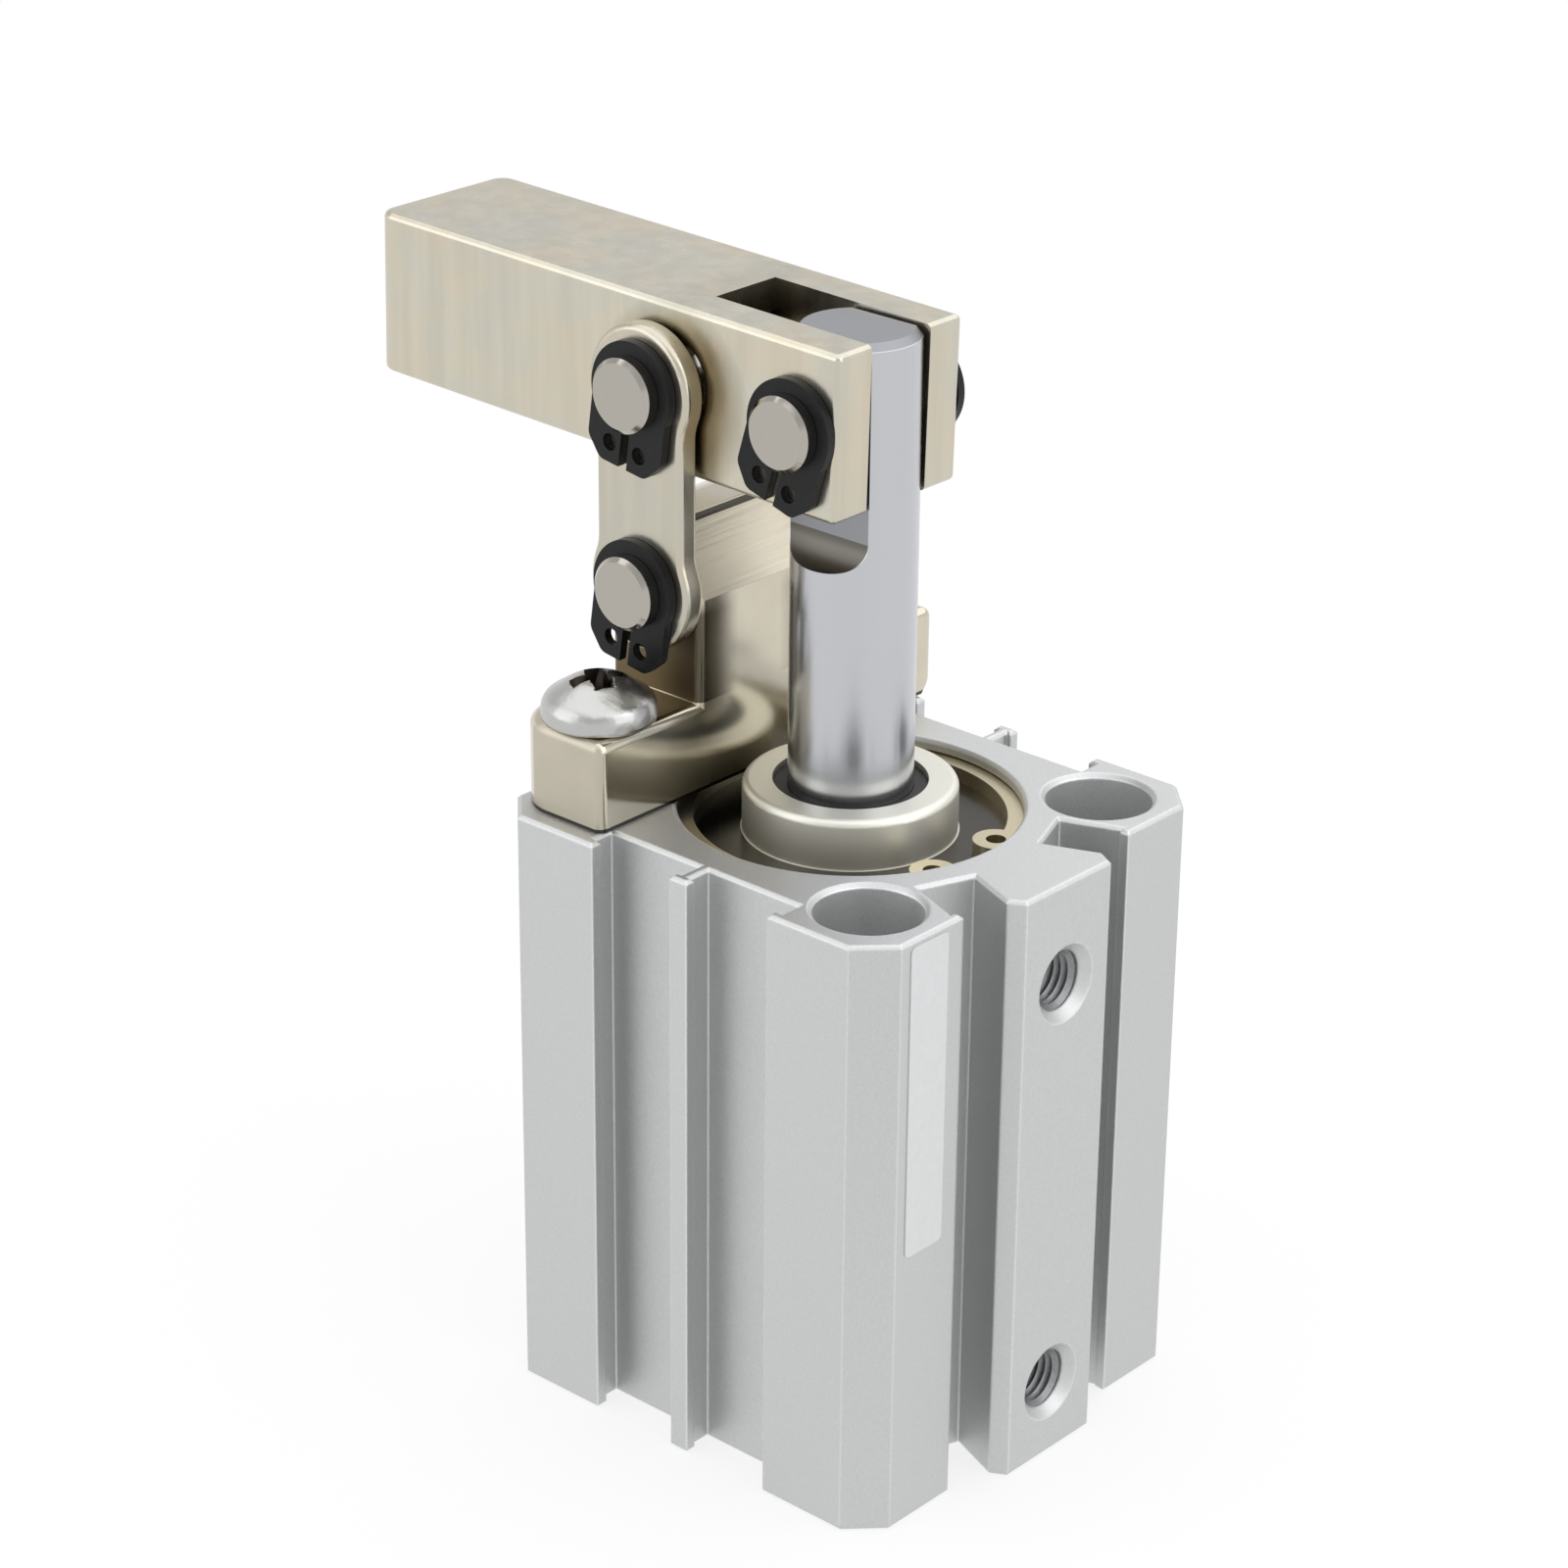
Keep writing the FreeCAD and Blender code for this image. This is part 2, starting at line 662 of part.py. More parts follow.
def make_piston_rings():
    def band(label, floor, outer, place, width):
        low = f"({PISTON_BOTTOM} + {place} + Size.ring_fit)"
        high = f"({PISTON_BOTTOM} + {place} + {width} - Size.ring_fit)"
        inner = f"({floor} + Size.ring_fit)"
        turned_part(label, [(inner, low), (outer, low), (outer, high), (inner, high)])

    band("piston_magnet", "Size.magnet_floor", f"{PISTON_RADIUS} - Size.magnet_sunk",
         "Size.magnet_place", "Size.magnet_width")
    band("piston_wear_ring", "Size.wear_floor", "Size.bore_radius - Size.seal_running",
         "Size.wear_place", "Size.wear_width")
    low = f"({PISTON_BOTTOM} + Size.seal_place + Size.ring_fit)"
    high = f"({PISTON_BOTTOM} + Size.seal_place + Size.seal_width - Size.ring_fit)"
    inner = "(Size.seal_floor + Size.ring_fit)"
    outer = "(Size.bore_radius - Size.seal_running)"
    turned_part("piston_seal", [
        (inner, low),
        (outer, low),
        (f"{outer} - Size.seal_notch", f"({low} + {high}) / 2"),
        (outer, high),
        (inner, high),
    ])


def make_bumper(label, inner, face, inward, outward):
    low_side = f"({face} {inward} Size.bumper_set)"
    high_side = f"({face} {outward} Size.bumper_proud)"
    inside = f"({inner} + Size.bumper_fit)"
    outside = f"({inner} + Size.bumper_width - Size.bumper_fit)"
    turned_part(label, [(inside, low_side), (outside, low_side), (outside, high_side), (inside, high_side)])


def make_piston_nut():
    body = new_body("piston_nut", z=f"{PISTON_BOTTOM} + Size.nut_sunk")
    sketch = new_sketch(body, "nut_outline", "XY_Plane")
    corner = "(Size.nut_flats / 2 / cos(30 deg))"
    flat = "(Size.nut_flats / 2)"
    polygon(sketch, [
        (corner, "0"), (f"{corner} / 2", flat), (f"-{corner} / 2", flat),
        (f"-{corner}", "0"), (f"-{corner} / 2", f"-{flat}"), (f"{corner} / 2", f"-{flat}"),
    ])
    circle(sketch, "0", "0", "Size.spigot_radius + Size.bore_fit")
    extrude(body, "Pad", "nut", sketch, "Size.nut_height")


def make_piston_rod():
    spigot_low = f"({PISTON_BOTTOM} + Size.nut_sunk)"
    rod_top = f"({ROD_PIN_Z} + Size.rod_above_pin)"
    body = turned_part("piston_rod", [
        ("0", spigot_low),
        ("Size.spigot_radius", spigot_low),
        ("Size.spigot_radius", PISTON_TOP),
        ("Size.rod_radius", PISTON_TOP),
        ("Size.rod_radius", f"{rod_top} - Size.rod_chamfer"),
        ("Size.rod_radius - Size.rod_chamfer", rod_top),
        ("0", rod_top),
    ])
    flat = "(Size.tongue_thick / 2)"
    flat_start = f"({ROD_PIN_Z} - Size.tongue_below_pin)"
    past_rod = f"(Size.rod_radius + {PAST})"
    flats = new_sketch(body, "tongue_flats", "YZ_Plane")
    rectangle(flats, flat, past_rod, flat_start, f"{rod_top} + {PAST}")
    rectangle(flats, f"-{past_rod}", f"-{flat}", flat_start, f"{rod_top} + {PAST}")
    extrude(body, "Pocket", "tongue_cut", flats, f"2 * {past_rod}", both=True)
    runouts = new_sketch(body, "tongue_runouts", "YZ_Plane")
    middle = f"({flat} + Size.runout_radius)"
    circle(runouts, middle, flat_start, "Size.runout_radius")
    circle(runouts, f"-{middle}", flat_start, "Size.runout_radius")
    extrude(body, "Pocket", "runout_cut", runouts, f"2 * {past_rod}", both=True)
    pin = new_sketch(body, "rod_pin_bore", "XZ_Plane")
    circle(pin, "0", ROD_PIN_Z, PIN_BORE)
    extrude(body, "Pocket", "rod_pin_bore_cut", pin, f"2 * {past_rod}", both=True)


# Clamp arm: the bore for the links' upper pin is a slot, because the linkage is opened there
def make_clamp_arm():
    body = new_body("clamp_arm", z=ROD_PIN_Z, tilt="arm_tilt")
    bar = new_sketch(body, "arm_outline", "XZ_Plane")
    rectangle(bar, "-Size.arm_reach", "Size.arm_heel", "-Size.arm_thick / 2", "Size.arm_thick / 2")
    extrude(body, "Pad", "arm_bar", bar, "Size.arm_width", both=True)
    tip, heel = -size("arm_reach"), size("arm_heel")

    def tip_upright(edge):
        return on_level(edge, "x", tip) and near(edge.BoundBox.YLength, 0)

    edge_work(body, "Fillet", "arm_tip_corners", "Size.arm_tip_round", tip_upright)

    def sharp(edge):
        flat = near(edge.BoundBox.ZLength, 0)
        return flat or on_level(edge, "x", heel)

    edge_work(body, "Fillet", "arm_edges", "Size.arm_round", sharp)
    fork = new_sketch(body, "fork_outline", "XY_Plane")
    slot_half = "(Size.tongue_thick / 2 + Size.fork_clearance)"
    rectangle(fork, "-Size.fork_depth", f"Size.arm_heel + {PAST}", f"-{slot_half}", slot_half)
    extrude(body, "Pocket", "fork_slot", fork, f"Size.arm_thick + {PAST}", both=True)
    bore = new_sketch(body, "rod_pin_hole", "XZ_Plane")
    circle(bore, "0", "0", PIN_BORE)
    extrude(body, "Pocket", "rod_pin_hole_cut", bore, f"Size.arm_width + {PAST}", both=True)
    free = f"({PIN_BORE} + Size.free_play)"
    run_x = "(Size.free_run * cos(Size.free_angle * 1 deg))"
    run_z = "(Size.free_run * sin(Size.free_angle * 1 deg))"
    side_x = f"({free} * sin(Size.free_angle * 1 deg))"
    side_z = f"({free} * cos(Size.free_angle * 1 deg))"
    web = new_sketch(body, "free_slot_middle", "XZ_Plane")
    polygon(web, [
        (f"{PIVOT_X} - {run_x} + {side_x}", f"-{run_z} - {side_z}"),
        (f"{PIVOT_X} + {run_x} + {side_x}", f"{run_z} - {side_z}"),
        (f"{PIVOT_X} + {run_x} - {side_x}", f"{run_z} + {side_z}"),
        (f"{PIVOT_X} - {run_x} - {side_x}", f"-{run_z} + {side_z}"),
    ])
    extrude(body, "Pocket", "free_slot_middle_cut", web, f"Size.arm_width + {PAST}", both=True)
    for name, sign in (("inner", "+"), ("outer", "-")):
        end = new_sketch(body, f"free_slot_{name}_end", "XZ_Plane")
        circle(end, f"{PIVOT_X} {sign} {run_x}", f"0 {sign} {run_z}", free)
        extrude(body, "Pocket", f"free_slot_{name}_cut", end, f"Size.arm_width + {PAST}", both=True)


# Links, pins and circlips
def make_link_plate(label, side):
    body = new_body(label, x=PIVOT_X, z=PIVOT_Z)
    level = {"near": PLATE_INNER, "far": f"-{PLATE_OUTER}"}[side]
    for name, height in (("lower", "0"), ("upper", "Size.link_length")):
        end = new_sketch(body, f"{label}_{name}_end", "XZ_Plane", level=level)
        circle(end, "0", height, "Size.plate_end_radius")
        extrude(body, "Pad", f"{label}_{name}_pad", end, "Size.plate_thick")
    waist = new_sketch(body, label + "_waist", "XZ_Plane", level=level)
    rectangle(waist, "-Size.plate_waist", "Size.plate_waist", "0", "Size.link_length")
    extrude(body, "Pad", label + "_waist_pad", waist, "Size.plate_thick")

    def waist_corner(edge):
        return near(edge.Length, size("plate_thick")) and isinstance(edge.Curve, Part.Line)

    edge_work(body, "Fillet", label + "_blends", "Size.plate_blend", waist_corner)

    def rim(edge):
        return near(edge.BoundBox.YLength, 0)

    edge_work(body, "Fillet", label + "_rims", "Size.plate_round", rim)
    holes = new_sketch(body, label + "_holes", "XZ_Plane", level=level)
    circle(holes, "0", "0", "Size.pin_radius + Size.bore_fit")
    circle(holes, "0", "Size.link_length", "Size.pin_radius + Size.bore_fit")
    extrude(body, "Pocket", label + "_hole_cut", holes, reverse=True)


def make_pin(label, clip_at, x, z):
    low, high = f"({clip_at} - Size.clip_play)", f"({clip_at} + Size.clip_thick + Size.clip_play)"
    half = f"({clip_at} + Size.clip_thick + Size.pin_proud)"
    shoulder = "(Size.pin_radius - Size.pin_chamfer)"
    outline = [("0", f"-{half}"), (shoulder, f"-{half}"), ("Size.pin_radius", f"-{half} + Size.pin_chamfer")]
    for start, stop in ((f"-{high}", f"-{low}"), (low, high)):
        outline += [("Size.pin_radius", start), ("Size.clip_floor", start)]
        outline += [("Size.clip_floor", stop), ("Size.pin_radius", stop)]
    outline += [("Size.pin_radius", f"{half} - Size.pin_chamfer"), (shoulder, half), ("0", half)]
    turned_part(label, outline, role="XY_Plane", x=x, z=z)


def make_clip(label, clip_at, turned_by, x, z):
    place = {"near": f"-{clip_at}", "far": f"{clip_at} + Size.clip_thick"}[label.split("_")[-1]]
    body = new_body(label, x=x, y=place, z=z, tilt=turned_by)
    ring = new_sketch(body, label + "_ring", "XZ_Plane")
    circle(ring, "0", "0", "Size.clip_outer")
    extrude(body, "Pad", label + "_disc", ring, "Size.clip_thick")
    lugs = new_sketch(body, label + "_lugs", "XZ_Plane")
    polygon(lugs, [
        ("-Size.clip_side", "0"),
        ("-Size.clip_side", "-Size.clip_side_reach"),
        ("-Size.clip_lug_half", "-Size.clip_lug_reach"),
        ("Size.clip_lug_half", "-Size.clip_lug_reach"),
        ("Size.clip_side", "-Size.clip_side_reach"),
        ("Size.clip_side", "0"),
    ])
    extrude(body, "Pad", label + "_lug_pad", lugs, "Size.clip_thick")

    def lug_corner(edge):
        through = near(edge.BoundBox.YLength, size("clip_thick")) and near(edge.BoundBox.XLength, 0)
        return through and edge.BoundBox.ZMax < -size("clip_outer")

    edge_work(body, "Fillet", label + "_lug_corners", "Size.clip_lug_round", lug_corner)
    bore = new_sketch(body, label + "_bore", "XZ_Plane")
    circle(bore, "0", "0", "Size.clip_inner")
    extrude(body, "Pocket", label + "_bore_cut", bore, reverse=True)
    slit = new_sketch(body, label + "_slit", "XZ_Plane")
    rectangle(slit, "-Size.clip_slit", "Size.clip_slit", f"-Size.clip_lug_reach - {PAST}", "0")
    extrude(body, "Pocket", label + "_slit_cut", slit, reverse=True)
    holes = new_sketch(body, label + "_holes", "XZ_Plane")
    for side in ("", "-"):
        circle(holes, side + "Size.clip_hole_x", "-Size.clip_hole_y", "Size.clip_hole_radius")
    extrude(body, "Pocket", label + "_hole_cut", holes, reverse=True)


def make_pin_set(pin, clip, clip_at, turned_by, x, z):
    make_pin(pin, clip_at, x, z)
    make_clip(clip + "_near", clip_at, turned_by, x, z)
    make_clip(clip + "_far", clip_at, turned_by, x, z)


# Pivot bracket and its screws
def make_bracket_lug():
    body = doc.addObject("PartDesign::Body", "bracket_lug")
    lug = new_sketch(body, "lug_outline", "XZ_Plane")
    lug_front = f"({PIVOT_X} + Size.lug_front)"
    lug_back = f"({PIVOT_X} - Size.lug_back)"
    slope_top = f"({lug_front} - Size.slope_run)"
    lug_top = f"({TOP} + Size.lug_height)"
    polygon(lug, [
        (lug_back, TOP),
        (lug_front, TOP),
        (lug_front, f"{TOP} + Size.slope_start"),
        (slope_top, f"{TOP} + Size.slope_end"),
        (slope_top, lug_top),
        (lug_back, lug_top),
    ])
    extrude(body, "Pad", "lug", lug, "2 * Size.lug_half", both=True)
    back = -size("lever_length") - size("lug_back")
    front = -size("lever_length") + size("lug_front")

    doc.recompute()
    top = body.Shape.BoundBox.ZMax

    def top_back(edge):
        return on_level(edge, "x", back) and near(edge.BoundBox.ZMin, top)

    edge_work(body, "Fillet", "lug_back_round", "Size.lug_back_round", top_back)

    def lug_upright(edge):
        box = edge.BoundBox
        at_side = near(abs(box.YMin), size("lug_half")) and near(box.YLength, 0)
        return at_side and (on_level(edge, "x", back) or on_level(edge, "x", front))

    edge_work(body, "Fillet", "lug_uprights", "Size.lug_round", lug_upright)
    return body


def make_bracket():
    body = new_body("pivot_bracket")
    bar_front = f"(-{HOLE} + Size.bar_front)"
    bar_back = f"(-{HOLE} - Size.bar_back)"
    bar = new_sketch(body, "bar_outline", "XY_Plane", level=TOP)
    rectangle(bar, bar_back, bar_front, "-Size.bar_near", "Size.bar_far")
    extrude(body, "Pad", "bar", bar, "Size.bar_height")
    doc.recompute()
    box = body.Shape.BoundBox
    bar_top, back, front = box.ZMax, box.XMin, box.XMax

    def back_upright(edge):
        return near(edge.BoundBox.YLength, 0) and on_level(edge, "x", back)

    edge_work(body, "Fillet", "bar_back_corners", "Size.bar_back_round", back_upright)

    def bar_edge(edge):
        front_upright = near(edge.BoundBox.YLength, 0) and on_level(edge, "x", front)
        return front_upright or on_level(edge, "z", bar_top)

    edge_work(body, "Fillet", "bar_edges", "Size.bar_round", bar_edge)
    under = new_sketch(body, "bar_far_underside", "YZ_Plane", level=bar_back)
    polygon(under, [
        ("Size.bar_far - Size.bar_chamfer_run", TOP),
        (f"Size.bar_far + {PAST}", TOP),
        (f"Size.bar_far + {PAST}", f"{TOP} + Size.bar_chamfer_rise"),
        ("Size.bar_far", f"{TOP} + Size.bar_chamfer_rise"),
    ])
    extrude(body, "Pocket", "bar_far_underside_cut", under, f"{bar_front} - {bar_back}", reverse=True)
    joined = body.newObject("PartDesign::Boolean", "lug_joined")
    joined.Type = "Fuse"
    joined.setObjects([make_bracket_lug()])
    bore = new_sketch(body, "pivot_bore", "XZ_Plane")
    circle(bore, PIVOT_X, PIVOT_Z, PIN_BORE)
    extrude(body, "Pocket", "pivot_bore_cut", bore, f"2 * Size.lug_half + {PAST}", both=True)
    holes = new_sketch(body, "bracket_holes", "XY_Plane", level=BAR_TOP)
    for side in ("", "-"):
        circle(holes, "-" + HOLE, side + HOLE, "Size.screw_radius + Size.screw_clearance")
    extrude(body, "Pocket", "bracket_hole_cut", holes, f"Size.bar_height + {PAST}")


def make_bracket_screw(label, side):
    body = turned_part(label, [
        ("0", "-Size.bar_height - Size.screw_reach"),
        ("Size.screw_radius - Size.screw_tip", "-Size.bar_height - Size.screw_reach"),
        ("Size.screw_radius", "-Size.bar_height - Size.screw_reach + Size.screw_tip"),
        ("Size.screw_radius", "0"),
        ("Size.head_radius", "0"),
        ("Size.head_radius", "Size.head_shoulder"),
        ("Size.head_flat", "Size.head_height"),
        ("0", "Size.head_height"),
    ], x="-" + HOLE, y=side + HOLE, z=BAR_TOP)
    rounds = [
        ("crown", "head_crown", "head_flat", size("head_height")),
        ("rim", "head_round", "head_radius", size("head_shoulder")),
        ("under", "head_under", "head_radius", 0),
    ]
    for name, amount, radius, level in rounds:

        def ring(edge):
            return is_round(edge, size(radius)) and on_level(edge, "z", level)

        edge_work(body, "Fillet", f"{label}_{name}", f"Size.{amount}", ring)


make_barrel()
make_rod_cover()
make_rod_guide()
make_snap_ring("rod_cover_snap_ring", COVER_FLANGE_TOP)
make_cap_cover()
make_snap_ring("cap_snap_ring", "Size.ring_setback")
make_bracket()
make_bracket_screw("bracket_screw_near", "-")
make_bracket_screw("bracket_screw_far", "")
make_piston_rod()
make_piston()
make_piston_rings()
make_piston_nut()
make_bumper("bumper_front", "Size.bumper_front_inner", PISTON_TOP, "-", "+")
make_bumper("bumper_rear", "Size.bumper_rear_inner", PISTON_BOTTOM, "+", "-")
make_clamp_arm()
make_pin_set("rod_pin", "rod_pin_circlip", ROD_CLIP, "rod_clip_turn", "0", ROD_PIN_Z)
make_link_plate("link_plate_near", "near")
make_link_plate("link_plate_far", "far")
make_pin_set("link_lower_pin", "lower_pin_circlip", LINK_CLIP, "link_clip_turn", PIVOT_X, PIVOT_Z)
make_pin_set("link_upper_pin", "upper_pin_circlip", LINK_CLIP, "link_clip_turn",
             PIVOT_X, f"{PIVOT_Z} + Size.link_length")

doc.recompute()

# Every feature must have worked, and every cut must have taken something away.
for item in doc.Objects:
    if "Invalid" in item.State or "Error" in item.State:
        raise RuntimeError(f"{item.Label} failed: {item.State}")
    if item.TypeId in ("PartDesign::Pocket", "PartDesign::Groove"):
        if item.Shape.Volume > item.BaseFeature.Shape.Volume - 0.001:
            raise RuntimeError(f"{item.Label} cuts nothing")

os.makedirs("parts", exist_ok=True)
for body in subparts:
    if body.Shape.isNull() or not body.Shape.isValid() or len(body.Shape.Solids) != 1:
        raise RuntimeError(f"{body.Label} is not one valid solid")
for body in subparts:
    body.Shape.exportStep(f"parts/{body.Label}.step")
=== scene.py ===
import json
import math

import bpy
from bpy.props import FloatProperty, FloatVectorProperty, IntProperty, PointerProperty
from mathutils import Matrix, Vector


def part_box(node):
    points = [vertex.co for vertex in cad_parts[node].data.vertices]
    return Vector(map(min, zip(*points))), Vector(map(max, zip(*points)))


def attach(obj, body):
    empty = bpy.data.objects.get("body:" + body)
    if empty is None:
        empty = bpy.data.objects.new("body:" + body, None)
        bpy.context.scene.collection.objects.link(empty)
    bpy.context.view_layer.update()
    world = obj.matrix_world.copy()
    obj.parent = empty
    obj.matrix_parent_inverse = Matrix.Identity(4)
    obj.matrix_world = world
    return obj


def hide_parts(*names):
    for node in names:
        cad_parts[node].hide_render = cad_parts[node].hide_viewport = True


bl_info = {
    "name": "Lever clamp cylinder",
    "version": (1, 0, 0),
    "blender": (4, 5, 0),
    "location": "View3D > Sidebar > Clamp cylinder",
    "description": "Finishes, small parts and studio of a lever clamp cylinder",
    "category": "Object",
}

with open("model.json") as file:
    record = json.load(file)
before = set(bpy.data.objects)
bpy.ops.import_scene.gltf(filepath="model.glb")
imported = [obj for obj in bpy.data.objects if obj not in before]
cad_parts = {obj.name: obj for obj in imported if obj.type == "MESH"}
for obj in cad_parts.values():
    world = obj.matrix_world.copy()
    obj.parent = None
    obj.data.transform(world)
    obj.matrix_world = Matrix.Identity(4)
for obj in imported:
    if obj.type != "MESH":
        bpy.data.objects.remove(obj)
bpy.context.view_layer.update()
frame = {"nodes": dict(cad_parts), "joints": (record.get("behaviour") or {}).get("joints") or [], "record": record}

MM = 0.001

# Sizes of the part that its boxes don't give
COUNTERBORE_RADIUS = 4.3 * MM
PIN_RADIUS = 3.0 * MM
PIN_CHAMFER = 0.37 * MM
# Radius where the rod cover's dark disc starts, just outside its collar
DISC_START = 8.7 * MM
# Distance from a link plate's pin to the plate's round end
PLATE_END = 5.2 * MM
# The bracket's bar and lug, with heights over the barrel
BAR_HEIGHT = 7.45 * MM
LUG_HALF = 6.9 * MM
SLOPE_START = 16.1 * MM
STEP_HEIGHT = 22.1 * MM
# From the links' lower pin towards the rod, to just behind the lug's slope
SLOPE_BACK = 1.62 * MM
# From the rod's pin down to the ends of the tongue's flats and of its round run-outs
FLATS_END = 9.5 * MM
RUNOUTS_END = 12.2 * MM

# A border between two finishes stands this far off the edge that it follows
SLACK = 0.05 * MM
# The satin of the bracket's bar ends goes round their corners by this much
END_RIM = 0.4 * MM
# The painted shadow of the step over the lug's slope reaches this far up and down from the step's height
STEP_SHADOW_HALF = 0.3 * MM
# Height of the painted contact shade where the bracket stands on the barrel
CONTACT_SHADE_HEIGHT = 0.3 * MM
# The painted dark reflection on the lug's front: its width from each side edge, its top over the slope's start,
# and its fade
REFLECTION_WIDTH = 4.5 * MM
REFLECTION_RISE = 0.2 * MM
REFLECTION_FADE = 1.4 * MM
# From the links' upper pin to the middle of the painted shadow of the link plates, and the shadow's fade
LINK_SHADOW_SHIFT = Vector((1.6, 0, -0.8)) * MM
LINK_SHADOW_FADE = 2.8 * MM

# How light or dark a stretch of a surface is beside the rest of it
# Painted light on the counterbores' walls
PAINTED_BORE_LIGHT = 1.32
# Painted light on the lug's slope
PAINTED_SLOPE_LIGHT = 1.25
BAR_END_TINT = 0.84
# Painted shadow of the step over the slope
PAINTED_STEP_SHADOW = 0.15
# Painted contact shade along the bracket's foot
PAINTED_CONTACT_SHADE = 0.12

# Sizes of the patterns in the finishes. The real part's lines, marks, rings and grains are finer than
# these, which are drawn as coarse as they need to show
NICKEL_PATCH = 5 * MM
NICKEL_STREAK = 1.6 * MM
GRINDING_LINE = 0.5 * MM
BRACKET_PATCH = 6 * MM
CUTTER_MARK = 0.5 * MM
ROD_MARK = 0.3 * MM
PIN_RING = 0.35 * MM
TURNED_RING = 0.3 * MM
ZINC_DENT = 1.1 * MM
PHOSPHATE_GRAIN = 0.3 * MM

# The floor's side in metres, and how far it lies under the part, to keep the two out of one plane
FLOOR_SIZE = 4
FLOOR_GAP = 0.02 * MM
# The floor's white covers this share of the shadow up to the first distance, and all of it from the second
WHITE_OVER_SHADOW = 0.8
SHADOW_REACH = 60 * MM
WHITE_REACH = 260 * MM
# Each lamp's name, its place and size in millimetres, and its watts
SOFTBOXES = (
    ("left_softbox", (-330, -520, 360), (640, 640), 1.3),
    ("right_softbox", (620, 60, 330), (620, 640), 1.12),
    ("top_softbox", (60, 160, 700), (1500, 1500), 6.3),
)
# The point that the lamps face, in millimetres
LAMP_AIM = (-4, 0, 55)
# The room's colour by how steeply a ray goes up: white low down and greyer towards the ceiling
ROOM = (
    (0.15, (1, 1, 1, 1)),
    (0.35, (0.74, 0.74, 0.75, 1)),
    (0.85, (0.66, 0.66, 0.67, 1)),
)

# Points of a CAD mesh that lie this near each other are one point
SAME_POINT = 0.002 * MM
# The tint that changes nothing
PLAIN = (1, 1, 1)
# A face whose normal goes this far along an axis faces that way
FACING = 0.9


def from_hex(code):
    """sRGB hex code to a linear colour."""
    channels = [int(code[k:k + 2], 16) / 255 for k in (0, 2, 4)]
    return tuple(c / 12.92 if c <= 0.04045 else ((c + 0.055) / 1.055) ** 2.4 for c in channels)


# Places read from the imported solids
barrel_low, barrel_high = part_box("barrel")
TOP = barrel_high.z
PORT_FACE = barrel_high.x
# The ports' boss stands out from the port side, which is as far from the axis as the back is
PORT_SIDE = -barrel_low.x
ROD_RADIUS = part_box("piston_rod")[1].y
bar_low, bar_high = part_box("pivot_bracket")
BAR_MIDDLE = (bar_low.y + bar_high.y) / 2
BAR_HALF = (bar_high.y - bar_low.y) / 2
joint_at = {joint["name"]: joint for joint in frame["joints"]}
ROD_PIN = Vector(joint_at["arm_pivot"]["pos_m"])
LINK_PIVOT = Vector(joint_at["link_pivot"]["pos_m"])
upper_pin_low, upper_pin_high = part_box("link_upper_pin")
PIN_CENTRES = {
    "rod_pin": ROD_PIN,
    "link_lower_pin": LINK_PIVOT,
    "link_upper_pin": (upper_pin_low + upper_pin_high) / 2,
}
mounts = {mount["name"]: mount for mount in frame["record"]["mounts"]}
FIXING = Vector(mounts["top_screws"]["pos_m"])
FIXING_PITCH = mounts["top_screws"]["dims"]["spacing_y_mm"] * MM


def colour(name, code, what):
    return FloatVectorProperty(name=name, description=what, subtype="COLOR", size=3, min=0, max=1,
                               default=from_hex(code))


def length(name, value, what):
    return FloatProperty(name=name, description=what, unit="LENGTH", subtype="DISTANCE", default=value)


def angle(name, degrees, what):
    return FloatProperty(name=name, description=what, subtype="ANGLE", default=math.radians(degrees))


def share(name, value, what):
    return FloatProperty(name=name, description=what, subtype="FACTOR", default=value, min=0.1, max=1)


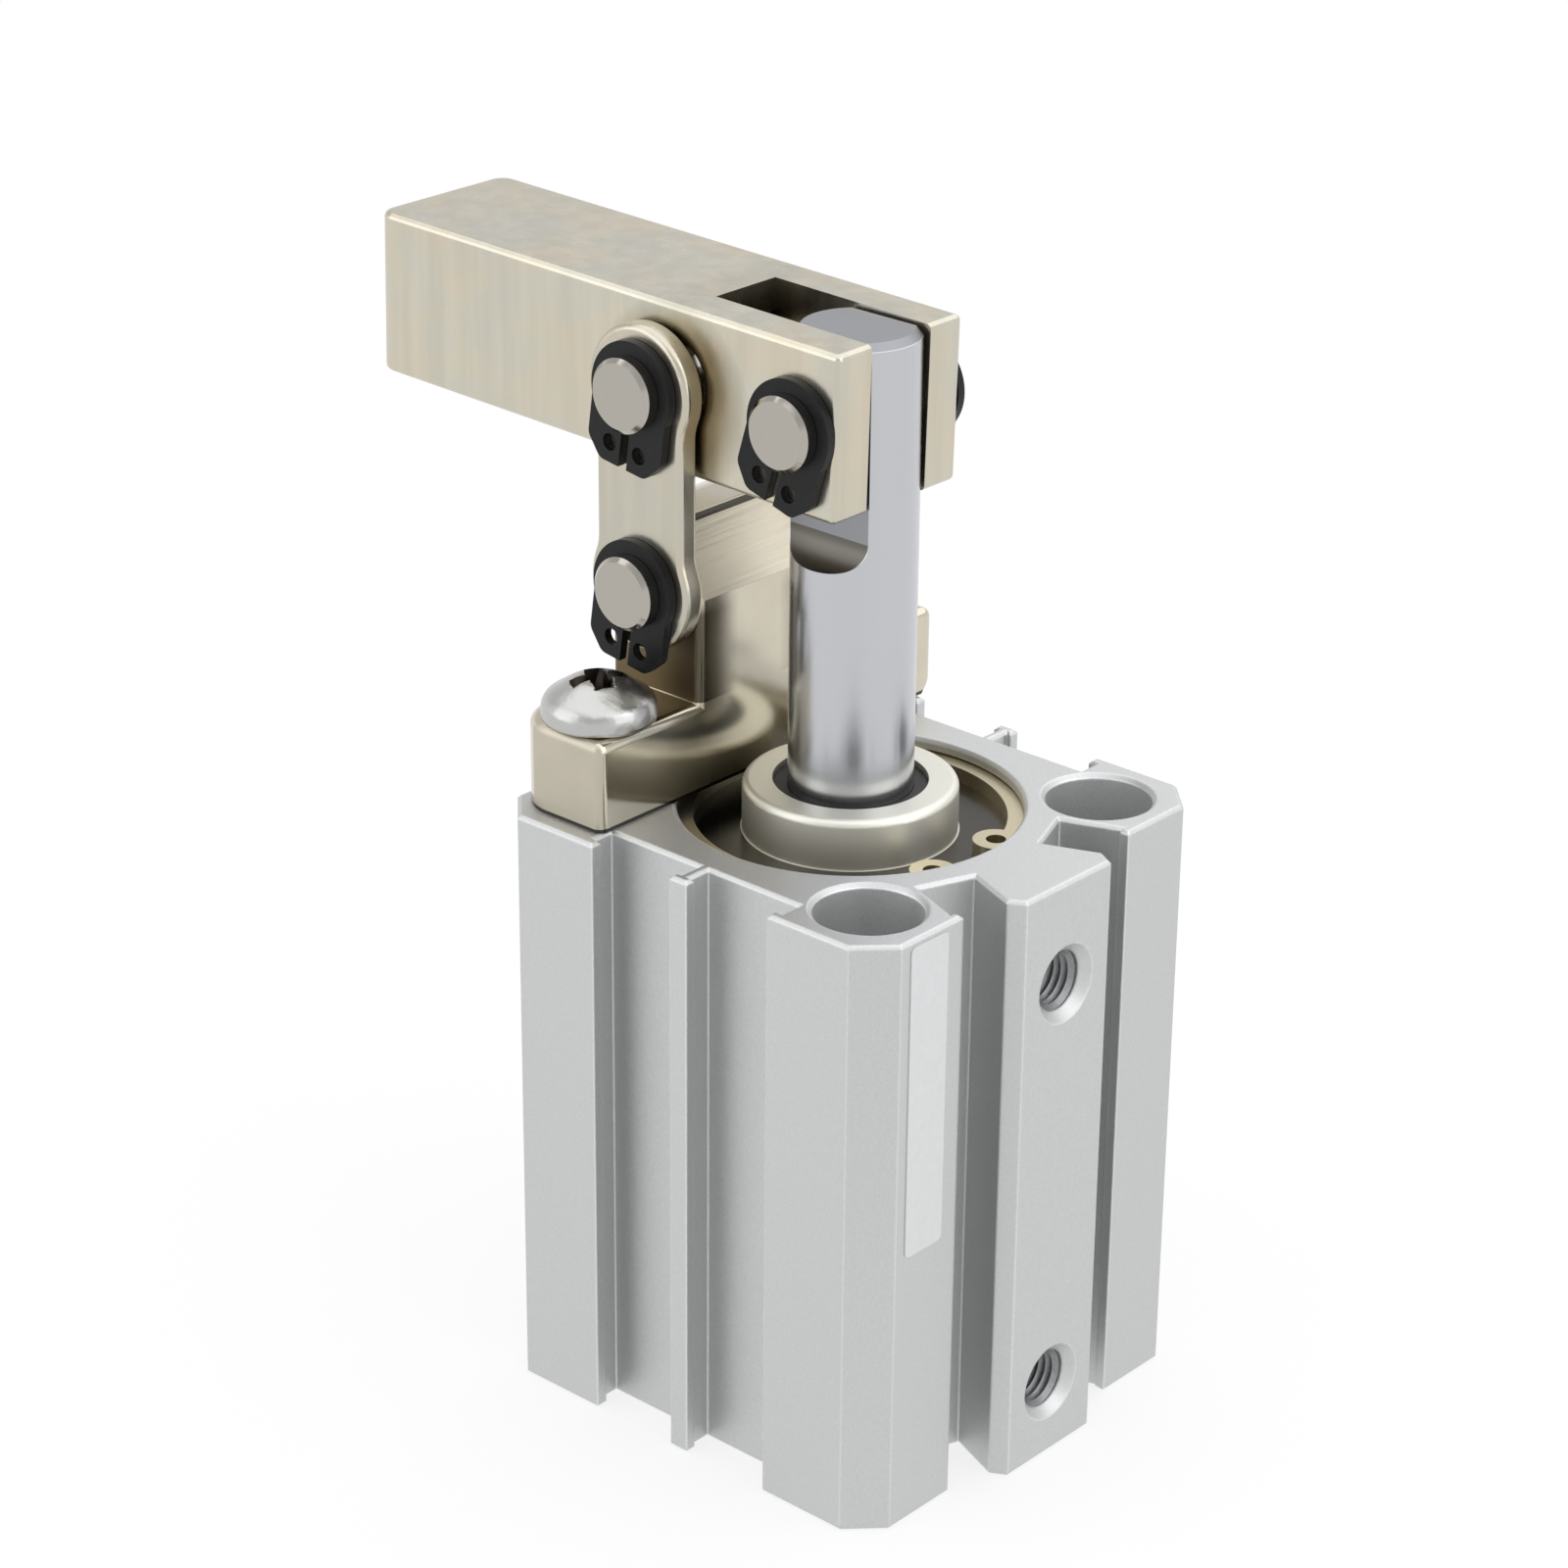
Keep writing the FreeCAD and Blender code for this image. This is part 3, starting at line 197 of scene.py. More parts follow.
class ClampFinishSettings(bpy.types.PropertyGroup):
    aluminium: colour("Anodised aluminium", "CDCECE", "Clear anodised, bead-blasted body")
    # The lighter edges are partly wear and partly a painted highlight
    edge_wear_and_highlight: colour("Bright edge", "EDEEEE", "Edges of the extrusion, partly worn bright and partly a painted highlight")
    # Painted shade in the ports' threads
    thread: colour("Tapped thread", "8A8B8C", "Port threads, darker with painted shade")
    nickel: colour("Nickel plate", "CFC8B7", "Warm nickel on the milled bracket")
    nickel_cool: colour("Cool nickel", "CBC8BA", "Patches of the arm's and links' plate that look greener")
    nickel_warm: colour("Warm nickel", "D1C8B5", "Patches of the arm's and links' plate that look yellower")
    # Painted shadow of the link plates on the arm
    link_shadow: colour("Link shadow", "C6C0B3", "Painted shadow of the link plates round their pin, a tint over the plate")
    # Painted shade under the link plates on the lug's sides
    lug_side_shade: colour("Lug side shade", "8A7E6C", "Painted brown shade on the lug's sides under the links, a tint over the plate")
    # Painted dark reflection of the rod on the lug's front
    front_reflection: colour("Front reflection", "635E55", "Painted dark reflection of the rod on the lug's front, a tint over the plate")
    chrome: colour("Hard chrome", "C2C3C7", "Ground chrome of the rod")
    milled_chrome: colour("Milled chrome", "95969A", "Milled tongue and end of the rod")
    runout: colour("Run-out", "6A6762", "Round run-outs under the tongue")
    pin: colour("Pin steel", "AFABA3", "Ground ends of the pins")
    cover: colour("Cover steel", "E0DFD6", "Fine-turned collar of the rod cover")
    # Painted shade on the disc round the collar
    disc_shade: colour("Cover disc shade", "504E49", "Painted shade on the disc round the collar")
    bright_screw: colour("Screw plating", "BCBCBA", "Polished bright zinc")
    # Painted shade in the screws' cross recess
    recess: colour("Recess", "35302C", "Painted shade in the cross recess of the bracket screws")
    black_clip: colour("Black phosphate", "0C0D0F", "Spring steel circlips")
    ring: colour("Yellow passivate", "D0C6AA", "Internal snap rings")
    rubber: colour("Nitrile rubber", "0F0F11", "Seals and bumpers")
    bronze: colour("Sintered bronze", "9C7A45", "Rod bush")
    inner_aluminium: colour("Turned aluminium", "BDBFC0", "Piston and cap")
    wear_plastic: colour("Wear plastic", "5B5A56", "Wear ring")
    ferrite: colour("Bonded ferrite", "2A2A2C", "Piston magnet")
    label: colour("Label film", "CACCCC", "Blank silver film")
    grain: length("Blasting grain", 0.22 * MM, "Size of the blasted surface's grain, drawn coarse to show")
    edge: length("Edge round", 0.3 * MM, "Broken edge of the extrusion")


class ClampThreadSettings(bpy.types.PropertyGroup):
    pitch: length("Pitch", 0.8 * MM, "Pitch of the port thread")
    depth: length("Thread depth", 0.42 * MM, "Height of the thread above its root")
    bite: length("Root overlap", 0.01 * MM, "How far the thread's root goes into the bore's wall")
    ridge: share("Ridge width", 0.9, "Width of the thread's ridge at its root, as a share of the pitch")
    start: length("Thread start", 0.6 * MM, "Depth from the port's face to its thread")
    run: length("Thread length", 6.0 * MM, "Length of thread in each port")
    steps: IntProperty(name="Steps", description="Steps in each turn of the thread", default=64, min=12)


class ClampScrewSettings(bpy.types.PropertyGroup):
    wing: length("Recess reach", 2.9 * MM, "Reach of the cross recess from the screw's axis")
    wing_width: length("Recess width", 1.9 * MM, "Width of each wing of the cross")
    turn: angle("Recess turn", 62, "Turn of the cross round the screw's axis")
    recess_depth: length("Recess depth", 2.3 * MM, "Depth of the cross recess")
    length_taper: share("Length taper", 0.45, "Length of a wing's bottom, as a share of its mouth's")
    width_taper: share("Width taper", 0.7, "Width of a wing's bottom, as a share of its mouth's")


class ClampLabelSettings(bpy.types.PropertyGroup):
    low_y: length("Near edge", -16.15 * MM, "Edge beside the body's corner")
    high_y: length("Far edge", -11.85 * MM, "Edge beside the groove")
    drop: length("Drop from the top", 0.6 * MM, "Gap between the body's top and the label")
    tall: length("Height", 26.4 * MM, "Height of the label")
    thick: length("Thickness", 0.08 * MM, "Thickness of the film")
    corner: length("Corner round", 0.5 * MM, "Round of the label's corners")


class ClampStudioSettings(bpy.types.PropertyGroup):
    azimuth: angle("Azimuth", 41.57, "Camera's turn from the near face towards the ports")
    elevation: angle("Elevation", 24.07, "Camera's height over the horizon")
    roll: angle("Roll", 0.528, "Camera's tilt in its own picture")
    distance: length("Distance", 337.9 * MM, "Camera's distance from the rod axis at the body's top")
    offset_x: length("Sideways", -5.248 * MM, "Camera's shift to its right")
    offset_y: length("Upwards", 1.263 * MM, "Camera's shift upwards")
    lens: FloatProperty(name="Lens", description="Focal length on a 36 mm sensor, in millimetres",
                        unit="CAMERA", default=97.94)
    floor_colour: colour("Floor", "E6E6E6", "Plain white floor")


# Modelling helpers
def deselect():
    if bpy.context.object and bpy.context.object.mode != "OBJECT":
        bpy.ops.object.mode_set(mode="OBJECT")
    bpy.ops.object.select_all(action="DESELECT")


def select_only(piece):
    deselect()
    piece.select_set(True)
    bpy.context.view_layer.objects.active = piece


def settle(piece, name):
    """Puts the piece's place into its mesh and leaves its object at the origin."""
    piece.name = name
    piece.data.name = name
    select_only(piece)
    bpy.ops.object.transform_apply(location=True, rotation=True, scale=True)


def apply_modifier(piece, kind, **settings):
    select_only(piece)
    modifier = piece.modifiers.new(kind.title(), kind)
    for key, value in settings.items():
        setattr(modifier, key, value)
    bpy.ops.object.modifier_apply(modifier=modifier.name)


def join_triangles(piece):
    """Joins the loose triangles of a CAD node's mesh, and turns its faces outwards."""
    select_only(piece)
    bpy.ops.object.mode_set(mode="EDIT")
    bpy.ops.mesh.select_all(action="SELECT")
    bpy.ops.mesh.remove_doubles(threshold=SAME_POINT)
    bpy.ops.mesh.normals_make_consistent(inside=False)
    bpy.ops.object.mode_set(mode="OBJECT")


def smooth(piece, degrees=35):
    """Shades the piece smooth, except over edges that turn by more than the angle."""
    select_only(piece)
    bpy.ops.object.shade_smooth_by_angle(angle=math.radians(degrees))


def give(piece, material):
    piece.data.materials.clear()
    piece.data.materials.append(material)


# Materials
def add_node(tree, kind, inputs=None, stops=(), **settings):
    """Adds a node with its settings, its ramp's stops, and a value or a link for each input."""
    node = tree.nodes.new(kind)
    for key, value in settings.items():
        setattr(node, key, value)
    for key, value in (inputs or {}).items():
        if isinstance(value, bpy.types.Node):
            value = value.outputs[0]
        if isinstance(value, bpy.types.NodeSocket):
            tree.links.new(value, node.inputs[key])
        else:
            node.inputs[key].default_value = value
    for count, (position, tint) in enumerate(stops):
        # A new ramp has two stops already
        stop = node.color_ramp.elements[count] if count < 2 else node.color_ramp.elements.new(position)
        stop.position = position
        stop.color = tint
    return node


def start_material(name):
    """An empty material, its nodes, and the place on the piece that its patterns follow."""
    material = bpy.data.materials.new(name)
    material.use_nodes = True
    tree = material.node_tree
    tree.nodes.clear()
    place = add_node(tree, "ShaderNodeTexCoord").outputs["Object"]
    return material, tree, place


def finish_material(tree, tint, metallic, roughness, normal, more=None):
    """Ends a material with its shader; each part of its look is a plain value or a link."""
    look = {"Base Color": tint, "Metallic": metallic, "Roughness": roughness, "Normal": normal}
    shader = add_node(tree, "ShaderNodeBsdfPrincipled", {**look, **(more or {})})
    add_node(tree, "ShaderNodeOutputMaterial", {"Surface": shader})


def shade(tint, level=1.0):
    """Opaque colour of the tint, lighter or darker by the level."""
    return (*(channel * level for channel in tint), 1)


def mottle(tree, place, size, tint, low, high, detail=3.0):
    """Patches of a size, and a colour that wanders with them between two levels of the tint."""
    patches = add_node(tree, "ShaderNodeTexNoise", {"Vector": place, "Scale": 1 / size, "Detail": detail})
    stops = ((0.32, shade(tint, low)), (0.68, shade(tint, high)))
    return add_node(tree, "ShaderNodeValToRGB", {"Fac": patches}, stops), patches


def lay_film(tree, tint, where, film):
    """The tint with a film over it, from none where the share is 0 to all of it where the share is 1."""
    cover = add_node(tree, "ShaderNodeValToRGB", {"Fac": where}, ((0, shade(PLAIN)), (1, film)))
    return add_node(tree, "ShaderNodeVectorMath", {0: tint, 1: cover}, operation="MULTIPLY")


def reach_from_axis(tree, place, centre=(0, 0, 0), axis="Z"):
    """Distance from an axis through the centre."""
    across = {"Z": (1, 1, 0), "Y": (1, 0, 1)}[axis]
    moved = add_node(tree, "ShaderNodeVectorMath", {0: place, 1: centre}, operation="SUBTRACT")
    flat = add_node(tree, "ShaderNodeVectorMath", {0: moved, 1: across}, operation="MULTIPLY")
    return add_node(tree, "ShaderNodeVectorMath", {0: flat}, operation="LENGTH").outputs["Value"]


def anodised_aluminium(settings):
    # Bead-blasted and clear anodised: an even light grey with a fine sparkle, soft, wide reflections and
    # edges lighter, partly worn bright and partly a painted highlight. The counterbores' walls get painted light
    material, tree, place = start_material("Blasted anodised aluminium")
    sparkle, grain = mottle(tree, place, settings.grain, PLAIN, 0.92, 1.0, detail=2.0)
    # Edges are lighter in colour, partly from wear and partly as a painted highlight
    broken = add_node(tree, "ShaderNodeBevel", {"Radius": settings.edge}, samples=6)
    sharp = add_node(tree, "ShaderNodeNewGeometry").outputs["Normal"]
    alike = add_node(tree, "ShaderNodeVectorMath", {0: broken, 1: sharp}, operation="DOT_PRODUCT")
    stops = ((0.86, shade(settings.edge_wear_and_highlight)), (0.985, shade(settings.aluminium)))
    worn_and_lit_edge = add_node(tree, "ShaderNodeValToRGB", {"Fac": alike.outputs["Value"]}, stops)
    tint = add_node(tree, "ShaderNodeVectorMath", {0: worn_and_lit_edge, 1: sparkle}, operation="MULTIPLY")
    wall = COUNTERBORE_RADIUS + SLACK
    # Painted light brightens the counterbores' walls
    for side in (-1, 1):
        reach = reach_from_axis(tree, place, FIXING + Vector((0, side * FIXING_PITCH / 2, 0)))
        bore_lit = add_node(tree, "ShaderNodeMath", {0: reach, 1: wall}, operation="LESS_THAN")
        tint = lay_film(tree, tint, bore_lit, shade(PLAIN, PAINTED_BORE_LIGHT))
    roughness = add_node(tree, "ShaderNodeMapRange", {"Value": grain, "To Min": 0.42, "To Max": 0.56})
    normal = add_node(tree, "ShaderNodeBump", {
        "Height": grain, "Distance": 0.03 * MM, "Strength": 0.3, "Normal": broken})
    finish_material(tree, tint, 1.0, roughness, normal)
    return material


def nickel_plate(settings, name, link_shadow_at=None, level=1.0):
    # Electroless nickel over a ground bar: warm, satin, with yellower and greener patches, faint upright
    # grinding lines and a few broad upright streaks
    material, tree, place = start_material(name)
    patches = add_node(tree, "ShaderNodeTexNoise", {
        "Vector": place, "Scale": 1 / NICKEL_PATCH, "Detail": 3.0})
    stops = ((0.4, shade(settings.nickel_cool, level)), (0.6, shade(settings.nickel_warm, level)))
    plate = add_node(tree, "ShaderNodeValToRGB", {"Fac": patches}, stops)
    upright = add_node(tree, "ShaderNodeMapping", {"Vector": place, "Scale": (1, 1, 0.08)})
    streaks = add_node(tree, "ShaderNodeTexNoise", {
        "Vector": upright, "Scale": 1 / NICKEL_STREAK, "Detail": 2.0})
    stops = ((0.35, shade(PLAIN, 0.93)), (0.65, shade(PLAIN)))
    streaked = add_node(tree, "ShaderNodeValToRGB", {"Fac": streaks}, stops)
    tint = add_node(tree, "ShaderNodeVectorMath", {0: plate, 1: streaked}, operation="MULTIPLY")
    if link_shadow_at is not None:
        # Painted shadow of the link plates beside them, widest on the side of the rod
        reach = reach_from_axis(tree, place, link_shadow_at, "Y")
        in_link_shadow = add_node(tree, "ShaderNodeMapRange", {
            "Value": reach, "From Min": PLATE_END + LINK_SHADOW_FADE, "From Max": PLATE_END})
        tint = lay_film(tree, tint, in_link_shadow, shade(settings.link_shadow))
    roughness = add_node(tree, "ShaderNodeMapRange", {"Value": streaks, "To Min": 0.2, "To Max": 0.32})
    ground = add_node(tree, "ShaderNodeMapping", {"Vector": place, "Scale": (1, 1, 0.12)})
    lines = add_node(tree, "ShaderNodeTexNoise", {
        "Vector": ground, "Scale": 1 / GRINDING_LINE, "Detail": 3.0})
    normal = add_node(tree, "ShaderNodeBump", {"Height": lines, "Distance": 0.03 * MM, "Strength": 0.3})
    finish_material(tree, tint, 1.0, roughness, normal)
    return material


def milled_nickel_plate(settings):
    # The bracket: the same plate, smooth enough in front to mirror the rod and satin on its ends. Its slope
    # is lighter with painted light, with cutter marks across it and a painted shadow of a step at its top. Painted
    # shade makes a dark line where it stands on the barrel and a brown shade on the lug's sides under the links,
    # and a painted dark reflection lies on its front
    material, tree, place = start_material("Milled electroless nickel")
    tint, patches = mottle(tree, place, BRACKET_PATCH, settings.nickel, 0.94, 1.04)
    parts = add_node(tree, "ShaderNodeSeparateXYZ", {"Vector": place})
    forward, across, high = parts.outputs

    # Places on the bracket, each a share that is 1 there and 0 elsewhere
    slope_plane = LINK_PIVOT.x + SLOPE_BACK
    ahead = add_node(tree, "ShaderNodeMath", {0: forward, 1: slope_plane}, operation="GREATER_THAN")
    over_slope = add_node(tree, "ShaderNodeMath", {0: high, 1: TOP + SLOPE_START}, operation="GREATER_THAN")
    on_slope = add_node(tree, "ShaderNodeMath", {0: over_slope, 1: ahead}, operation="MULTIPLY")
    step = add_node(tree, "ShaderNodeMath", {
        0: high, 1: TOP + STEP_HEIGHT, 2: STEP_SHADOW_HALF}, operation="COMPARE")
    on_step_shadow = add_node(tree, "ShaderNodeMath", {0: step, 1: ahead}, operation="MULTIPLY")
    in_contact_shade = add_node(tree, "ShaderNodeMath", {0: high, 1: TOP + CONTACT_SHADE_HEIGHT}, operation="LESS_THAN")
    bar_top = TOP + BAR_HEIGHT + SLACK
    over_bar = add_node(tree, "ShaderNodeMath", {0: high, 1: bar_top}, operation="GREATER_THAN")
    sideways = add_node(tree, "ShaderNodeMath", {0: across}, operation="ABSOLUTE")
    beside = add_node(tree, "ShaderNodeMath", {0: sideways, 1: LUG_HALF - SLACK}, operation="GREATER_THAN")
    on_side = add_node(tree, "ShaderNodeMath", {0: over_bar, 1: beside}, operation="MULTIPLY")
    off_middle = add_node(tree, "ShaderNodeMath", {0: across, 1: BAR_MIDDLE}, operation="SUBTRACT")
    along_bar = add_node(tree, "ShaderNodeMath", {0: off_middle}, operation="ABSOLUTE")
    on_end = add_node(tree, "ShaderNodeMath", {0: along_bar, 1: BAR_HALF - END_RIM}, operation="GREATER_THAN")

    # The painted reflection on the lug's front is darkest at its side edges and fades out under the slope
    near_edge = add_node(tree, "ShaderNodeMapRange", {
        "Value": sideways, "From Min": LUG_HALF - REFLECTION_WIDTH, "From Max": LUG_HALF})
    reflection_top = TOP + SLOPE_START + REFLECTION_RISE
    under_slope = add_node(tree, "ShaderNodeMapRange", {
        "Value": high, "From Min": reflection_top, "From Max": reflection_top - REFLECTION_FADE})
    off_side = add_node(tree, "ShaderNodeMath", {0: over_bar, 1: on_side}, operation="SUBTRACT")
    on_front = add_node(tree, "ShaderNodeMath", {0: off_side, 1: under_slope}, operation="MULTIPLY")
    reflected = add_node(tree, "ShaderNodeMath", {0: near_edge, 1: on_front}, operation="MULTIPLY")

    for where, film in (
        # Painted reflection on the lug's front
        (reflected, shade(settings.front_reflection)),
        # Painted light on the slope
        (on_slope, shade(PLAIN, PAINTED_SLOPE_LIGHT)),
        # Painted shadow of the step
        (on_step_shadow, shade(PLAIN, PAINTED_STEP_SHADOW)),
        # Painted contact shade where the bracket stands on the barrel
        (in_contact_shade, shade(PLAIN, PAINTED_CONTACT_SHADE)),
        # Painted shade on the lug's sides under the links
        (on_side, shade(settings.lug_side_shade)),
        (on_end, shade(PLAIN, BAR_END_TINT)),
    ):
        tint = lay_film(tree, tint, where, film)

    milled = add_node(tree, "ShaderNodeMapping", {"Vector": place, "Scale": (1, 0.03, 1)})
    marks = add_node(tree, "ShaderNodeTexNoise", {"Vector": milled, "Scale": 1 / CUTTER_MARK, "Detail": 2.0})
    cut = add_node(tree, "ShaderNodeMath", {0: marks, 1: on_slope}, operation="MULTIPLY")
    normal = add_node(tree, "ShaderNodeBump", {"Height": cut, "Distance": 0.14 * MM, "Strength": 1.0})
    slope_or_end = add_node(tree, "ShaderNodeMath", {0: on_slope, 1: on_end}, operation="MAXIMUM")
    satin = add_node(tree, "ShaderNodeMath", {0: slope_or_end, 1: on_side}, operation="MAXIMUM")
    mirror = add_node(tree, "ShaderNodeMapRange", {"Value": patches, "To Min": 0.12, "To Max": 0.2})
    # Satin stretches are rougher by 0.28
    roughness = add_node(tree, "ShaderNodeMath", {0: satin, 1: 0.28, 2: mirror}, operation="MULTIPLY_ADD")
    finish_material(tree, tint, 1.0, roughness, normal)
    return material


def hard_chrome(settings):
    # Ground and hard chromed: a blurred mirror with fine marks that run round the rod. The milled tongue and
    # run-outs are duller and greyer
    material, tree, place = start_material("Ground hard chrome")
    around = add_node(tree, "ShaderNodeMapping", {"Vector": place, "Scale": (0.05, 0.05, 1)})
    marks = add_node(tree, "ShaderNodeTexNoise", {"Vector": around, "Scale": 1 / ROD_MARK, "Detail": 3.0})
    high = add_node(tree, "ShaderNodeSeparateXYZ", {"Vector": place}).outputs["Z"]
    runouts_low = ROD_PIN.z - RUNOUTS_END
    over_end = add_node(tree, "ShaderNodeMath", {0: high, 1: runouts_low}, operation="GREATER_THAN")
    reach = reach_from_axis(tree, place)
    inside = add_node(tree, "ShaderNodeMath", {0: reach, 1: ROD_RADIUS - SLACK}, operation="LESS_THAN")
    milled = add_node(tree, "ShaderNodeMath", {0: over_end, 1: inside}, operation="MULTIPLY")
    under_flats = add_node(tree, "ShaderNodeMath", {0: high, 1: ROD_PIN.z - FLATS_END}, operation="LESS_THAN")
    in_runout = add_node(tree, "ShaderNodeMath", {0: milled, 1: under_flats}, operation="MULTIPLY")
    # 0 on the ground rod, a half on the flats and 1 in the run-outs
    twice = add_node(tree, "ShaderNodeMath", {0: milled, 1: in_runout}, operation="ADD")
    kind = add_node(tree, "ShaderNodeMath", {0: twice, 1: 2.0}, operation="DIVIDE")
    stops = ((0, shade(settings.chrome)), (0.5, shade(settings.milled_chrome)), (1, shade(settings.runout)))
    tint = add_node(tree, "ShaderNodeValToRGB", {"Fac": kind}, stops)
    fine = add_node(tree, "ShaderNodeMapRange", {"Value": marks, "To Min": 0.2, "To Max": 0.28})
    # Milled stretches are rougher by 0.12
    roughness = add_node(tree, "ShaderNodeMath", {0: milled, 1: 0.12, 2: fine}, operation="MULTIPLY_ADD")
    normal = add_node(tree, "ShaderNodeBump", {"Height": marks, "Distance": 0.01 * MM, "Strength": 0.15})
    finish_material(tree, tint, 1.0, roughness, normal)
    return material


def turned_metal(name, tint, roughness, spacing):
    # Turned on a lathe: rings of tool marks round the axis, drawn coarse enough to show, which spread the
    # light across them
    material, tree, place = start_material(name)
    rings = add_node(tree, "ShaderNodeTexNoise", {
        "W": reach_from_axis(tree, place), "Scale": 1 / spacing, "Detail": 2.0}, noise_dimensions="1D")
    spread = add_node(tree, "ShaderNodeMapRange", {
        "Value": rings, "To Min": roughness * 0.85, "To Max": roughness * 1.2})
    normal = add_node(tree, "ShaderNodeBump", {"Height": rings, "Distance": 0.02 * MM, "Strength": 0.3})
    finish_material(tree, shade(tint), 1.0, spread, normal)
    return material


def ground_pin(settings, pin, centre):
    # Ground flat on its end, with faint rings round its middle and a polished chamfer that catches the light
    material, tree, place = start_material("Ground steel of " + pin)
    reach = reach_from_axis(tree, place, centre, "Y")
    rings = add_node(tree, "ShaderNodeTexNoise", {
        "W": reach, "Scale": 1 / PIN_RING, "Detail": 2.0}, noise_dimensions="1D")
    chamfer_start = PIN_RADIUS - PIN_CHAMFER
    polished = add_node(tree, "ShaderNodeMath", {0: reach, 1: chamfer_start}, operation="GREATER_THAN")
    spread = add_node(tree, "ShaderNodeMapRange", {"Value": rings, "To Min": 0.25, "To Max": 0.32})
    # The chamfer is smoother by 0.16
    roughness = add_node(tree, "ShaderNodeMath", {0: polished, 1: -0.16, 2: spread}, operation="MULTIPLY_ADD")
    normal = add_node(tree, "ShaderNodeBump", {"Height": rings, "Distance": 0.008 * MM, "Strength": 0.2})
    finish_material(tree, shade(settings.pin), 1.0, roughness, normal)
    return material


def turned_cover(settings):
    # Fine-turned steel: the collar is bright and satin, the disc round it is smoother and dark with painted shade
    material, tree, place = start_material("Fine-turned cover")
    reach = reach_from_axis(tree, place)
    rings = add_node(tree, "ShaderNodeTexNoise", {
        "W": reach, "Scale": 1 / TURNED_RING, "Detail": 2.0}, noise_dimensions="1D")
    on_disc = add_node(tree, "ShaderNodeMath", {0: reach, 1: DISC_START}, operation="GREATER_THAN")
    stops = ((0, shade(settings.cover)), (1, shade(settings.disc_shade)))
    tint = add_node(tree, "ShaderNodeValToRGB", {"Fac": on_disc}, stops)
    spread = add_node(tree, "ShaderNodeMapRange", {"Value": rings, "To Min": 0.44, "To Max": 0.52})
    # The disc is smoother by 0.24
    roughness = add_node(tree, "ShaderNodeMath", {0: on_disc, 1: -0.24, 2: spread}, operation="MULTIPLY_ADD")
    normal = add_node(tree, "ShaderNodeBump", {"Height": rings, "Distance": 0.01 * MM, "Strength": 0.15})
    finish_material(tree, tint, 1.0, roughness, normal)
    return material


def bright_zinc(settings):
    # Barrel-plated bright zinc: a soft mirror with shallow tumbling dents
    material, tree, place = start_material("Bright zinc")
    dents = add_node(tree, "ShaderNodeTexNoise", {"Vector": place, "Scale": 1 / ZINC_DENT, "Detail": 2.0})
    normal = add_node(tree, "ShaderNodeBump", {"Height": dents, "Distance": 0.14 * MM, "Strength": 0.5})
    finish_material(tree, shade(settings.bright_screw), 1.0, 0.3, normal)
    return material


def black_phosphate(settings):
    # Phosphated and oiled spring steel: near black with a low sheen
    material, tree, place = start_material("Black phosphate")
    tint, grain = mottle(tree, place, PHOSPHATE_GRAIN, settings.black_clip, 0.8, 1.5)
    roughness = add_node(tree, "ShaderNodeMapRange", {"Value": grain, "To Min": 0.3, "To Max": 0.48})
    normal = add_node(tree, "ShaderNodeBump", {"Height": grain, "Distance": 0.02 * MM, "Strength": 0.3})
    finish_material(tree, tint, 0.0, roughness, normal, {"Specular IOR Level": 0.25})
    return material


def fine_matter(name, base, metallic, roughness, size, spread=0.12):
    # Plain moulded, sintered or tapped: its own grain in colour, gloss and height, drawn coarse to show
    material, tree, place = start_material(name)
    tint, grain = mottle(tree, place, size, base, 1 - spread, 1 + spread)
    gloss = add_node(tree, "ShaderNodeMapRange", {
        "Value": grain, "To Min": roughness * 0.85, "To Max": roughness * 1.15})
    normal = add_node(tree, "ShaderNodeBump", {"Height": grain, "Distance": 0.02 * MM, "Strength": 0.3})
    finish_material(tree, tint, metallic, gloss, normal)
    return material


# Filled by the finishes operator
FINISHES = {}
NODE_FINISH = {
    "anodised_aluminium": ["barrel"],
    "nickel_plated_steel": ["link_plate_near", "link_plate_far"],
    "link_shadowed_nickel_plate": ["clamp_arm"],
    "milled_nickel_plate": ["pivot_bracket"],
    "hard_chrome_rod": ["piston_rod"],
    "turned_cover": ["rod_cover"],
    "turned_steel": ["piston_nut"],
    "black_spring_steel": [node for node in frame["nodes"] if "circlip" in node],
    "yellow_spring_steel": ["rod_cover_snap_ring", "cap_snap_ring"],
    "black_rubber": [
        "rod_seal", "rod_cover_o_ring", "cap_o_ring", "piston_seal", "bumper_front", "bumper_rear"],
    "bearing_bronze": ["rod_bush"],
    "turned_aluminium": ["piston", "cap_cover"],
    "wear_plastic": ["piston_wear_ring"],
    "bonded_magnet": ["piston_magnet"],
}


